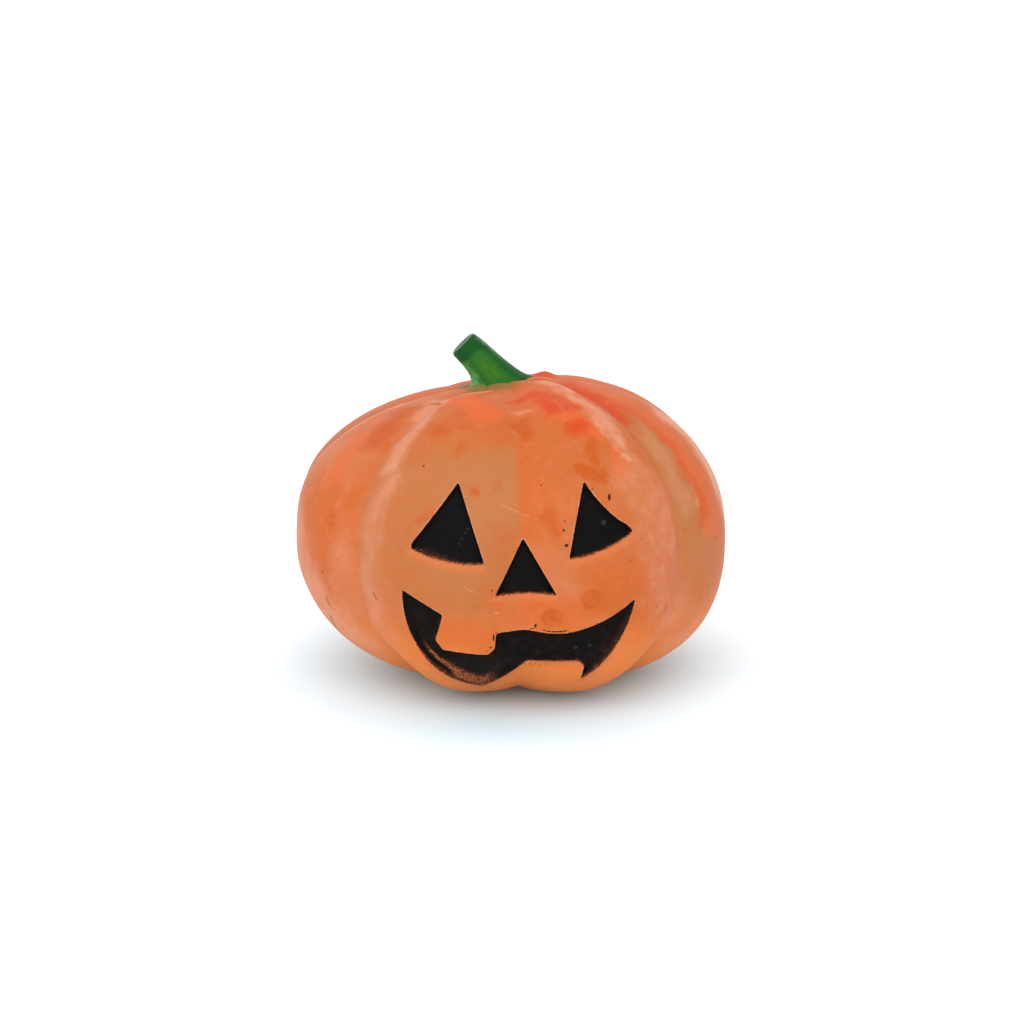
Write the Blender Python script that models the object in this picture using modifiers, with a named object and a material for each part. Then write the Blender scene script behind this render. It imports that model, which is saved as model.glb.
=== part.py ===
"""Hollow slip-cast pumpkin figure with a carved, grinning face.

The body is two moulded halves luted together at the sides, with a stem set in the crown,
black enamel laid in the recessed eyes, nose and mouth, and a disc closing the pour hole.
Sizes are in millimetres and become metres when a mesh is made. The face looks along -Y,
the figure stands on z = 0, and x = y = 0 is the middle of the body.
"""
import math

import bmesh
import bpy
from mathutils import Vector

MM = 0.001

# Body: a lobed, slightly squared round form
LOBES = 8
BODY_RADIUS = 46.0          # to the crest of a lobe
BELLY_HEIGHT = 31.1         # where the body is widest
CROWN_RISE = 31.9           # belly to crown, before the crown dip
BASE_DROP = 32.8            # belly to base, before it is flattened at z = 0
CROWN_SQUARENESS = 2.34     # exponent of the profile above the belly
BASE_SQUARENESS = 2.37      # exponent of the profile below the belly
CROWN_LEAN = -0.29          # how the exponents change from the left side to the right
BASE_LEAN = 0.20
CROWN_DIP, CROWN_DIP_RADIUS = 1.8, 9.0
BASE_DIP, BASE_DIP_RADIUS = 4.0, 8.8
CROWN_SLOPE = 0.12          # the crown is lower on the left
CROWN_SHIFT = -0.7          # the lobes meet left of the middle at the crown
BASE_SHIFT = 0.5            # and right of it at the base

# Grooves between the lobes, as shares of the radius
FACE_GROOVE = 0.036         # down the middle of the face
LOBE_GROOVE = 0.056
GROOVE_SHARPNESS = 0.36
GROOVE_FADE = 0.7           # how the grooves fade towards the crown and the base
GROOVE_RISE = 0.9           # how much a groove also takes off the height
SHIFT_CURVE = 1.5           # how late the crown and base shifts set in

WALL = 4.0
BASE_WALL = 5.0
CAVITY_SOFTENING = 0.6      # the cast cavity has shallower grooves than the skin
SEAM_GAP = 0.3
FIT_GAP = 0.3

# Face: recess in the skin and the enamel layer in it
RECESS_DEPTH = 1.6
ENAMEL_TOP = 0.6
ENAMEL_BOTTOM = RECESS_DEPTH - FIT_GAP
CUT_START, CUT_END = -60.0, -10.0

# Outlines in the x-z plane, clockwise: x, z and how far the edge to the next point bows out
LEFT_EYE = [(-12.0, 48.2, 0.0), (-7.4, 33.4, 0.8), (-21.1, 35.6, 0.1), (-20.8, 37.0, 0.0)]
RIGHT_EYE = [(11.6, 48.2, -0.5), (18.6, 40.5, 0.3), (21.0, 38.3, 0.8), (8.4, 34.1, 0.2)]
NOSE = [(-0.2, 38.2, 0.0), (6.0, 27.2, -0.5), (-5.4, 27.2, 0.0)]
MOUTH = [
    (-22.9, 27.3, 0.0), (-15.3, 23.2, 0.1), (-16.7, 17.6, 0.1), (-15.3, 15.4, 0.0),
    (-6.8, 14.5, -0.1), (-5.4, 16.2, 0.0), (-5.2, 19.6, 0.1), (0.6, 19.9, 0.0),
    (7.8, 19.3, -1.0), (21.6, 24.8, 1.9), (11.9, 7.4, 0.0), (12.3, 11.6, 0.2),
    (11.3, 12.5, 0.0), (0.9, 12.5, 0.4), (-7.5, 4.2, 5.3),
]
EDGE_STEP = 2.2             # longest straight piece on a bowed edge
FLAT_BOW = 0.15             # an edge that bows less than this stays straight

# Stem: centre line in the x-z plane, with the radius at each point
STEM_LINE = [
    (-1.0, 59.4, 7.6), (-1.3, 61.4, 6.9), (-2.5, 63.9, 4.9), (-4.5, 66.1, 3.8),
    (-6.8, 68.3, 3.3), (-9.6, 70.7, 2.9),
]
SPIGOT_RADIUS = 3.0
SPIGOT_BOTTOM = 58.6
SPIGOT_TOP = 63.5
SPIGOT_X = -1.0

# Base: rebated pour hole, and the disc let into the rebate
POUR_RADIUS = 7.0
REBATE_RADIUS = 9.3
REBATE_TOP = 3.2
DISC_RADIUS = REBATE_RADIUS - FIT_GAP
DISC_BOTTOM = 1.2
DISC_TOP = REBATE_TOP - FIT_GAP
VENT_RADIUS = 3.5
DISC_ROUNDING = 0.3

# Mesh fineness
SKIN_COLUMNS_PER_LOBE = 8
SKIN_RINGS = 24
CAVITY_COLUMNS_PER_LOBE = 4
CAVITY_RINGS = 16
COLUMN_CROWDING = 0.5       # draws the columns towards the grooves
TURNED_SIDES = 40
WELD = 0.01
SHARP_ANGLE = 35.0
OUTSIDE = 60.0              # half the width of a cutter that takes half the body
OVERCUT = 3.0               # how far a cutter starts outside what it cuts


# ---- Body formula ---------------------------------------------------------------------

def groove_share(azimuth):
    """How deep the nearest groove is at an azimuth, as a share of the radius."""
    place = azimuth / (2 * math.pi / LOBES)
    along = place % 1.0
    shape = 1.0 - math.sin(math.pi * along) ** GROOVE_SHARPNESS
    at_face = round(place) % LOBES == 0
    return (FACE_GROOVE if at_face else LOBE_GROOVE) * shape


def body_point(azimuth, polar, wall=0.0, base_wall=0.0, softening=1.0):
    """A point of the body; azimuth 0 is the middle of the face, polar 0 the crown."""
    side = math.sin(azimuth)
    above = math.cos(polar) > 0
    if above:
        power = CROWN_SQUARENESS + CROWN_LEAN * side
    else:
        power = BASE_SQUARENESS + BASE_LEAN * side
    across, up = abs(math.sin(polar)), abs(math.cos(polar))
    reach = (across ** power + up ** power) ** (-1.0 / power)
    width, height = across * reach, up * reach
    groove = softening * groove_share(azimuth) * width ** GROOVE_FADE
    radius = (BODY_RADIUS - wall) * width * (1.0 - groove)
    full = CROWN_RISE - wall if above else -(BASE_DROP - base_wall)
    z = BELLY_HEIGHT + full * height * (1.0 - GROOVE_RISE * groove)
    x, y = radius * side, -radius * math.cos(azimuth)
    if above:
        z -= CROWN_DIP * math.exp(-(radius / CROWN_DIP_RADIUS) ** 2)
        z += CROWN_SLOPE * x * height
        x += CROWN_SHIFT * height ** SHIFT_CURVE
    else:
        z += BASE_DIP * math.exp(-(radius / BASE_DIP_RADIUS) ** 2)
        x += BASE_SHIFT * height ** SHIFT_CURVE
    return Vector((x, y, max(z, 0.0)))


# ---- Objects --------------------------------------------------------------------------

def clear_scene():
    for obj in list(bpy.data.objects):
        bpy.data.objects.remove(obj, do_unlink=True)


def new_collection(name):
    collection = bpy.data.collections.new(name)
    bpy.context.scene.collection.children.link(collection)
    return collection


def make_material(name, colour, roughness, coat=0.0):
    material = bpy.data.materials.new(name)
    material.use_nodes = True
    shader = material.node_tree.nodes["Principled BSDF"]
    shader.inputs["Base Color"].default_value = (*colour, 1.0)
    shader.inputs["Roughness"].default_value = roughness
    shader.inputs["Metallic"].default_value = 0.0
    shader.inputs["Coat Weight"].default_value = coat
    return material


def mesh_object(name, mesh, collection):
    obj = bpy.data.objects.new(name, mesh)
    collection.objects.link(obj)
    return obj


def as_cutter(obj):
    obj.hide_render = True
    obj.display_type = "WIRE"
    return obj


def boolean(obj, other, operation):
    modifier = obj.modifiers.new(operation.title() + " " + other.name, "BOOLEAN")
    modifier.operation = operation
    modifier.solver = "EXACT"
    modifier.object = other


def finish_part(obj, material):
    obj.data.materials.clear()
    obj.data.materials.append(material)
    obj.data.shade_smooth()
    obj.data.set_sharp_from_angle(angle=math.radians(SHARP_ANGLE))
    return obj


# ---- Shapes ---------------------------------------------------------------------------

def lobed_body(name, collection, columns, rings, offset=0.0, **form):
    """A closed body from a UV sphere; offset moves its skin out along the normals."""
    bm = bmesh.new()
    bmesh.ops.create_uvsphere(bm, u_segments=columns * LOBES, v_segments=rings, radius=1.0)
    lobe = 2 * math.pi / LOBES
    for vertex in bm.verts:
        polar = math.acos(max(-1.0, min(1.0, vertex.co.z)))
        azimuth = math.atan2(vertex.co.x, -vertex.co.y)
        along = azimuth / lobe
        drawn = along - COLUMN_CROWDING * math.sin(2 * math.pi * along) / (2 * math.pi)
        vertex.co = body_point(drawn * lobe, polar, **form)
    bm.normal_update()
    moved = [vertex.co + vertex.normal * offset for vertex in bm.verts]
    for vertex, place in zip(bm.verts, moved):
        vertex.co = place * MM
    mesh = bpy.data.meshes.new(name)
    bm.to_mesh(mesh)
    bm.free()
    return mesh_object(name, mesh, collection)


def box(name, collection, low, high):
    bm = bmesh.new()
    bmesh.ops.create_cube(bm, size=1.0)
    low, high = Vector(low), Vector(high)
    for vertex in bm.verts:
        share = vertex.co + Vector((0.5, 0.5, 0.5))
        vertex.co = Vector(low[i] + (high[i] - low[i]) * share[i] for i in range(3)) * MM
    mesh = bpy.data.meshes.new(name)
    bm.to_mesh(mesh)
    bm.free()
    return mesh_object(name, mesh, collection)


def cylinder(name, collection, radius, bottom, top, x=0.0):
    bm = bmesh.new()
    bmesh.ops.create_cone(bm, cap_ends=True, segments=TURNED_SIDES, radius1=radius * MM,
                          radius2=radius * MM, depth=(top - bottom) * MM)
    bmesh.ops.translate(bm, verts=bm.verts, vec=(x * MM, 0.0, (bottom + top) / 2 * MM))
    mesh = bpy.data.meshes.new(name)
    bm.to_mesh(mesh)
    bm.free()
    return mesh_object(name, mesh, collection)


def turned_ring(name, collection, inner, outer, bottom, top, rounding):
    """A flat ring turned about Z, from a closed profile with small bevels."""
    profile = [(outer, top - rounding), (outer, bottom + rounding),
               (outer - rounding, bottom), (inner + rounding, bottom),
               (inner, bottom + rounding), (inner, top - rounding),
               (inner + rounding, top), (outer - rounding, top)]
    mesh = bpy.data.meshes.new(name)
    edges = [(i, (i + 1) % len(profile)) for i in range(len(profile))]
    mesh.from_pydata([(r * MM, 0.0, z * MM) for r, z in profile], edges, [])
    obj = mesh_object(name, mesh, collection)
    screw = obj.modifiers.new("Turn", "SCREW")
    screw.steps = screw.render_steps = TURNED_SIDES
    screw.use_merge_vertices = True
    screw.merge_threshold = WELD * MM
    return obj


def bowed_outline(corners):
    """The outline's points, with each bowed edge as a shallow arc outside its chord."""
    points = []
    for (x, z, bow), (next_x, next_z, _) in zip(corners, corners[1:] + corners[:1]):
        run, rise = next_x - x, next_z - z
        length = math.hypot(run, rise)
        steps = 1 if abs(bow) < FLAT_BOW else max(2, round(length / EDGE_STEP))
        for step in range(steps):
            t = step / steps
            out = 4 * bow * t * (1 - t) / length
            points.append((x + run * t - rise * out, z + rise * t + run * out))
    return points


def inset_outline(points, gap):
    """The clockwise outline drawn in by gap, with mitred corners."""
    inset = []
    for i, (x, z) in enumerate(points):
        here = Vector((x, z))
        before = (here - Vector(points[i - 1])).normalized()
        after = (Vector(points[(i + 1) % len(points)]) - here).normalized()
        inward = Vector((before.y + after.y, -before.x - after.x)).normalized()
        reach = gap / max(0.25, inward.dot(Vector((before.y, -before.x))))
        inset.append(tuple(here + inward * reach))
    return inset


def outline_prism(name, collection, points):
    """The outline as a 2D curve, filled, extruded along Y and made a closed mesh."""
    curve = bpy.data.curves.new(name, "CURVE")
    curve.dimensions = "2D"
    curve.fill_mode = "BOTH"
    curve.extrude = (CUT_END - CUT_START) / 2 * MM
    spline = curve.splines.new("POLY")
    spline.points.add(len(points) - 1)
    for point, (x, z) in zip(spline.points, points):
        point.co = (x * MM, z * MM, 0.0, 1.0)
    spline.use_cyclic_u = True
    drawn = mesh_object(name + " outline", curve, collection)
    drawn.rotation_euler = (math.radians(90), 0.0, 0.0)
    drawn.location = (0.0, (CUT_START + CUT_END) / 2 * MM, 0.0)
    return curve_to_mesh(name, drawn, collection)


def curve_to_mesh(name, drawn, collection):
    bpy.context.view_layer.update()
    evaluated = drawn.evaluated_get(bpy.context.evaluated_depsgraph_get())
    mesh = bpy.data.meshes.new_from_object(evaluated)
    mesh.transform(drawn.matrix_world)
    bpy.data.objects.remove(drawn, do_unlink=True)
    bm = bmesh.new()
    bm.from_mesh(mesh)
    bmesh.ops.remove_doubles(bm, verts=bm.verts, dist=WELD * MM)
    bmesh.ops.recalc_face_normals(bm, faces=bm.faces)
    bm.to_mesh(mesh)
    bm.free()
    mesh.name = name
    return mesh_object(name, mesh, collection)


def stem_tube(name, collection):
    """The stem as a tapering tube along its centre line, with closed ends."""
    curve = bpy.data.curves.new(name, "CURVE")
    curve.dimensions = "3D"
    curve.bevel_depth = MM
    curve.bevel_resolution = 3
    curve.resolution_u = 4
    curve.use_fill_caps = True
    spline = curve.splines.new("BEZIER")
    spline.bezier_points.add(len(STEM_LINE) - 1)
    for point, (x, z, radius) in zip(spline.bezier_points, STEM_LINE):
        point.co = (x * MM, 0.0, z * MM)
        point.radius = radius
        point.handle_left_type = point.handle_right_type = "AUTO"
    drawn = mesh_object(name + " line", curve, collection)
    return curve_to_mesh(name, drawn, collection)


# ---- The figure -----------------------------------------------------------------------

def build():
    clear_scene()
    parts = new_collection("Pumpkin figure")
    cutters = new_collection("Cutters")
    bisque = make_material("Orange painted ceramic", (0.70, 0.24, 0.085), 0.42, 0.1)
    back_bisque = make_material("Orange painted ceramic back", (0.68, 0.22, 0.075), 0.42, 0.1)
    green = make_material("Green enamel", (0.020, 0.130, 0.016), 0.33, 0.2)
    black = make_material("Black enamel", (0.006, 0.005, 0.005), 0.45)
    raw_clay = make_material("Unpainted clay", (0.62, 0.50, 0.40), 0.8)

    def skin(name, offset, collection=cutters):
        return lobed_body(name, collection, SKIN_COLUMNS_PER_LOBE, SKIN_RINGS, offset)

    cavity = as_cutter(lobed_body("Cavity", cutters, CAVITY_COLUMNS_PER_LOBE, CAVITY_RINGS,
                                  wall=WALL, base_wall=BASE_WALL,
                                  softening=CAVITY_SOFTENING))
    recess_floor = as_cutter(skin("Recess floor", -RECESS_DEPTH))
    enamel_back = as_cutter(skin("Enamel back", -ENAMEL_BOTTOM))
    enamel_face = as_cutter(skin("Enamel face", -ENAMEL_TOP))
    crown_relief = as_cutter(skin("Crown relief", FIT_GAP))
    pour_hole = as_cutter(cylinder("Pour hole", cutters, POUR_RADIUS, -OVERCUT,
                                   BASE_WALL + BASE_DIP + OVERCUT))
    rebate = as_cutter(cylinder("Rebate", cutters, REBATE_RADIUS, -OVERCUT, REBATE_TOP))
    socket = as_cutter(cylinder("Stem socket", cutters, SPIGOT_RADIUS + FIT_GAP,
                                SPIGOT_BOTTOM - FIT_GAP, SPIGOT_TOP + OVERCUT, SPIGOT_X))
    spigot = as_cutter(cylinder("Spigot", cutters, SPIGOT_RADIUS, SPIGOT_BOTTOM,
                                SPIGOT_TOP, SPIGOT_X))
    far, seam, high = OUTSIDE, SEAM_GAP / 2, 2 * OUTSIDE
    halves = {
        "front_shell": box("Front half", cutters, (-far, -far, -far), (far, -seam, high)),
        "back_shell": box("Back half", cutters, (-far, seam, -far), (far, far, high)),
    }
    for name, half in halves.items():
        shell = skin(name, 0.0, parts)
        boolean(shell, as_cutter(half), "INTERSECT")
        for cutter in (cavity, pour_hole, rebate, socket):
            boolean(shell, cutter, "DIFFERENCE")
        finish_part(shell, bisque if name == "front_shell" else back_bisque)

    front = bpy.data.objects["front_shell"]
    features = {"left_eye": LEFT_EYE, "right_eye": RIGHT_EYE, "nose": NOSE, "mouth": MOUTH}
    for name, corners in features.items():
        outline = bowed_outline(corners)
        recess = as_cutter(outline_prism(name + " recess", cutters, outline))
        boolean(recess, recess_floor, "DIFFERENCE")
        boolean(front, recess, "DIFFERENCE")
        enamel = outline_prism(name + "_enamel", parts, inset_outline(outline, FIT_GAP))
        boolean(enamel, enamel_face, "INTERSECT")
        boolean(enamel, enamel_back, "DIFFERENCE")
        finish_part(enamel, black)

    stem = stem_tube("stem", parts)
    boolean(stem, crown_relief, "DIFFERENCE")
    boolean(stem, spigot, "UNION")
    finish_part(stem, green)

    disc = turned_ring("base_disc", parts, VENT_RADIUS, DISC_RADIUS, DISC_BOTTOM, DISC_TOP,
                       DISC_ROUNDING)
    finish_part(disc, raw_clay)


build()
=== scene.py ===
"""Painted hollow pumpkin figure: fine shells, enamel face, stem, base disc and stage.

The sizes below are in millimetres in the figure's own frame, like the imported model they
are built around: the face looks along -Y, the figure stands on z = 0.
"""
import math

import bpy
import bmesh
import numpy as np
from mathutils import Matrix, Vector
from mathutils.bvhtree import BVHTree
from mathutils.geometry import delaunay_2d_cdt


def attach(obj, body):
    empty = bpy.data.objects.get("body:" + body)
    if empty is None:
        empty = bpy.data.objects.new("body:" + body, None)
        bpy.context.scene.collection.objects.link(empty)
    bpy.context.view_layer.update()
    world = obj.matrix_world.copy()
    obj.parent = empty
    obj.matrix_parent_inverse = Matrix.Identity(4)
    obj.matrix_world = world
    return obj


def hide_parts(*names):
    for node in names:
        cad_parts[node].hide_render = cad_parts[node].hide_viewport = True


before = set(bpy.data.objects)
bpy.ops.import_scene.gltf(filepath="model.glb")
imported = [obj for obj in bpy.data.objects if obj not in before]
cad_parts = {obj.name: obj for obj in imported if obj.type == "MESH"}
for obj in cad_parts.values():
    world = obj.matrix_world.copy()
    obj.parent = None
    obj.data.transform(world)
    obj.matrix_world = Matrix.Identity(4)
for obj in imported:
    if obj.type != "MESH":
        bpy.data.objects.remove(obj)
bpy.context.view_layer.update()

bl_info = {
    "name": "Painted Pumpkin Figure",
    "version": (1, 0, 0),
    "blender": (4, 5, 0),
    "location": "3D View > Sidebar > Pumpkin",
    "description": "Builds a painted ceramic pumpkin figure around its packed frame",
    "category": "Add Mesh",
}

MM = 0.001

# Form of the body
LOBES = 8
LOBE = 2 * math.pi / LOBES
BODY_RADIUS = 46.4
BELLY_HEIGHT = 31.1
CROWN_RISE = 31.9
BASE_DROP = 32.8
CROWN_SQUARENESS, CROWN_LEAN = 2.34, -0.29
BASE_SQUARENESS, BASE_LEAN = 2.37, 0.20
CROWN_DIP, CROWN_DIP_RADIUS = 1.3, 8.6
BASE_DIP, BASE_DIP_RADIUS = 4.0, 8.8
CROWN_SLOPE, CROWN_SHIFT, BASE_SHIFT = 0.12, -0.7, 0.5
GROOVE_SHARPNESS, GROOVE_FADE, GROOVE_RISE, SHIFT_CURVE = 0.36, 0.5, 0.9, 1.5
FACE_GROOVE, FACE_GROOVE_SOFTNESS = 0.050, 0.16
BASE_DEEPENING = 1.3                    # how much deeper the grooves run underneath
LOBE_GROOVE, LOBE_GROOVE_SOFTNESS = 0.074, 0.09
WALL, BASE_WALL, CAVITY_SOFTENING = 4.0, 5.0, 0.6
CROWN_OPENING = 4.5                     # polar angle where the shells stop, under the stem
POUR_RADIUS, REBATE_RADIUS, REBATE_TOP = 7.0, 9.3, 3.2
SEAM_HALF_GAP = 0.02
SEAM_NICK, SEAM_NICK_WIDTH = 0.16, 0.35
BUMP_PLACE, BUMP_HEIGHT, BUMP_RADIUS = (8.0, 3.2), 0.9, 1.9

# Local swellings of the skin: height, then where each starts, is full, fades and ends
SHOULDER = 1.2                          # the front lobes round the crown
SHOULDER_DEGREES = (0.0, 16.0, 34.0, 45.0)
SHOULDER_REACH = {"right": (7.0, 12.5, 28.0, 43.0), "left": (11.0, 20.0, 30.0, 43.0)}
LEFT_SHOULDER = 0.9                     # the left one's height as a share of the right one's
FULL_FOOT = 0.9                         # the front lobes underneath
FOOT_DEGREES, FOOT_HEIGHTS = (2.0, 27.0, 31.0, 46.0), (0.2, 4.0, 7.0, 18.0)
COLLAR, COLLAR_REACH = 0.8, (5.5, 10.5)  # what the stem's foot stands on

# Grid angles in degrees: (angle to reach, step to it)
FRONT_START, FRONT_AZIMUTHS = -90.0, [(-89, 0.25), (-50, 1.1), (-33, 0.7), (33, 0.38),
                                      (50, 0.7), (89, 1.1), (90, 0.25)]
BACK_START, BACK_AZIMUTHS = 90.0, [(91, 0.25), (269, 1.0), (270, 0.25)]
FRONT_POLARS = [(54, 1.0), (153, 0.38), (168.4, 1.0)]
BACK_POLARS = [(168.4, 1.0)]
CAVITY_STEP = 7.5

# Face outlines in the x-z plane, clockwise: x, z and how far the edge to the next bows out
FACE = {
    "left_eye": [(-12.0, 48.2, 0.0), (-7.4, 33.4, 0.8), (-21.1, 35.6, 0.1),
                 (-20.8, 37.0, 0.0)],
    "right_eye": [(11.6, 48.2, -0.5), (18.6, 40.5, 0.3), (21.0, 38.3, 0.8),
                  (8.4, 34.1, 0.2)],
    "nose": [(-0.2, 38.4, 0.0), (6.2, 27.3, -0.5), (-5.6, 27.2, 0.0)],
    "mouth": [(-22.9, 27.6, 0.0), (-15.3, 23.3, 0.1), (-16.7, 17.6, 0.1),
              (-15.3, 15.6, 0.0), (-6.8, 14.8, -0.1), (-5.4, 16.3, 0.0),
              (-5.2, 19.8, 0.1), (0.6, 20.4, 0.0), (3.4, 19.8, -0.1), (7.8, 19.5, -1.0),
              (21.7, 25.3, 1.9), (11.6, 8.2, 0.0), (12.1, 11.7, 0.2), (11.1, 12.9, 0.0),
              (0.9, 12.9, 0.6), (-7.3, 5.9, 4.8)],
}
EDGE_STEP = 0.35
CORNER_ROUNDING = 2                     # averaging passes along an outline
FACE_LIMIT = 7.0                        # distances to an outline are kept up to this
FACE_LEFT, FACE_RIGHT, FACE_BACK = -23.2, 22.0, -15.0   # what the outlines lie within
RECESS_DEPTH = 0.9
STEEP_WALL, SLOPED_WALL = 0.40, 2.4     # widths of a recess wall above and below
ENAMEL_FILM = 0.07
ENAMEL_LIFT = 0.03                      # clears the skin under the film
ENAMEL_STEP = 0.36
ENAMEL_INSET, ENAMEL_LOWER_INSET = 0.10, 0.30

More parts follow.
